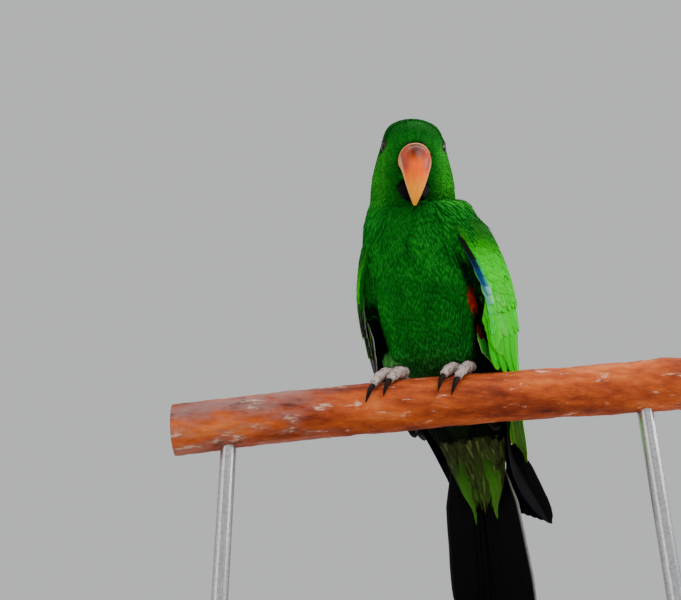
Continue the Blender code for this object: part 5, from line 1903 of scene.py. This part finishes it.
colour = ramp(tree, noise_value(tree, stretched, 72, 8, 0.68), (
    (0.28, linear(60, 20, 12)), (0.42, linear(134, 50, 18)), (0.56, linear(186, 82, 26)),
    (0.74, linear(216, 124, 62)),
))
along = add_node(tree, "SeparateXYZ", {0: object_place(tree)})["X"]
left_end = remap(tree, along, -0.045, -0.085, 0, 1)
grey = math_node(tree, "MULTIPLY", left_end, bark_patches(45, 5, 0.7, 0.42, 0.58, 0.85))
colour = mix_colour(tree, grey, colour, linear(140, 104, 98))
colour = mix_colour(tree, bark_patches(180, 4, 0.7, 0.59, 0.68, 0.8), colour, linear(220, 180, 150))
colour = mix_colour(tree, bark_patches(95, 5, 0.65, 0.6, 0.69, 0.8), colour, linear(58, 32, 26))
dress(tree, bark_shader, colour, noise_value(tree, stretched, 240, 8, 0.65), 0.9, 0.8)

branch = rolled_tube("branch", bark_ring, 96, 420, bark)

# %% [markdown]
# The sawn ends show growth rings round the branch's own axis. Each end is inset in edit mode, so that a
# line of bark stays round the pale wood.

# %% Sawn ends
BARK_THICKNESS = 1.1 * MM
END_SAG = PERCH_BOW * PERCH_LENGTH ** 2 / 4
RING_COUNT = 900

sawn, tree, sawn_shader = new_material("sawn_wood", 0.7, 0.2)
place = object_place(tree)
about_branch = {"Vector": place, "Center": (0, 0, PERCH_HEIGHT), "Angle": PERCH_TILT}
turned = add_node(tree, "VectorRotate", about_branch, rotation_type="Y_AXIS")["Vector"]
parts = add_node(tree, "SeparateXYZ", {0: turned})
high = math_node(tree, "SUBTRACT", parts["Z"], PERCH_HEIGHT - END_SAG * MM)
across = math_node(tree, "MULTIPLY", parts["Y"], parts["Y"])
reach = math_node(tree, "SQRT", math_node(tree, "MULTIPLY_ADD", high, high, across))
reach = math_node(tree, "MULTIPLY_ADD", noise_value(tree, place, 120), 0.0025, reach)
rings = math_node(tree, "FRACT", math_node(tree, "MULTIPLY", reach, RING_COUNT))
colour = ramp(tree, rings, (
    (0.0, linear(214, 176, 128)), (0.7, linear(190, 142, 92)), (0.93, linear(130, 84, 50)),
))
pith = remap(tree, reach, 0.0028, 0.0018, 0, 0.8)
dress(tree, sawn_shader, mix_colour(tree, pith, colour, linear(96, 56, 34)))
branch.data.materials.append(sawn)
select_only(branch)
bpy.ops.object.mode_set(mode="EDIT")
bpy.ops.mesh.select_all(action="DESELECT")
bpy.ops.object.mode_set(mode="OBJECT")
for face in branch.data.polygons:
    face.select = len(face.vertices) > 10
bpy.ops.object.mode_set(mode="EDIT")
bpy.ops.mesh.select_mode(type="FACE")
bpy.ops.mesh.inset(thickness=BARK_THICKNESS)
bpy.ops.object.mode_set(mode="OBJECT")
ends = [face for face in branch.data.polygons if len(face.vertices) > 10]
for face in ends:
    face.material_index = 1
    face.use_smooth = False
print("sawn faces:", len(ends))
hand_over(branch, "perch_wood", "perch")

# %% [markdown]
# The stand is a dark wooden base with two steel rods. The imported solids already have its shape, so
# they stay and only get their finishes.

# %% Stand
walnut, tree, shader = new_material("stand_walnut", 0.5, 0.35, 0.05)
grain_place = add_node(tree, "Mapping", {"Vector": object_place(tree), "Scale": (0.12, 1, 1)})["Vector"]
dress(tree, shader, ramp(tree, noise_value(tree, grain_place, 90, 6, distortion=0.6), (
    (0.3, linear(46, 28, 20)), (0.5, linear(84, 52, 36)), (0.7, linear(108, 70, 48)),
)))

steel, tree, shader = new_material("stand_steel", 0.3, 0.5)
shader.inputs["Metallic"].default_value = 1.0
dress(tree, shader, ramp(tree, noise_value(tree, object_place(tree), 600), (
    (0.3, (0.42, 0.42, 0.43)), (0.7, (0.62, 0.62, 0.63)),
)))
for name, finish in (("stand_base", walnut), ("stand_rod_left", steel), ("stand_rod_right", steel)):
    nodes[name].material_slots[0].material = finish
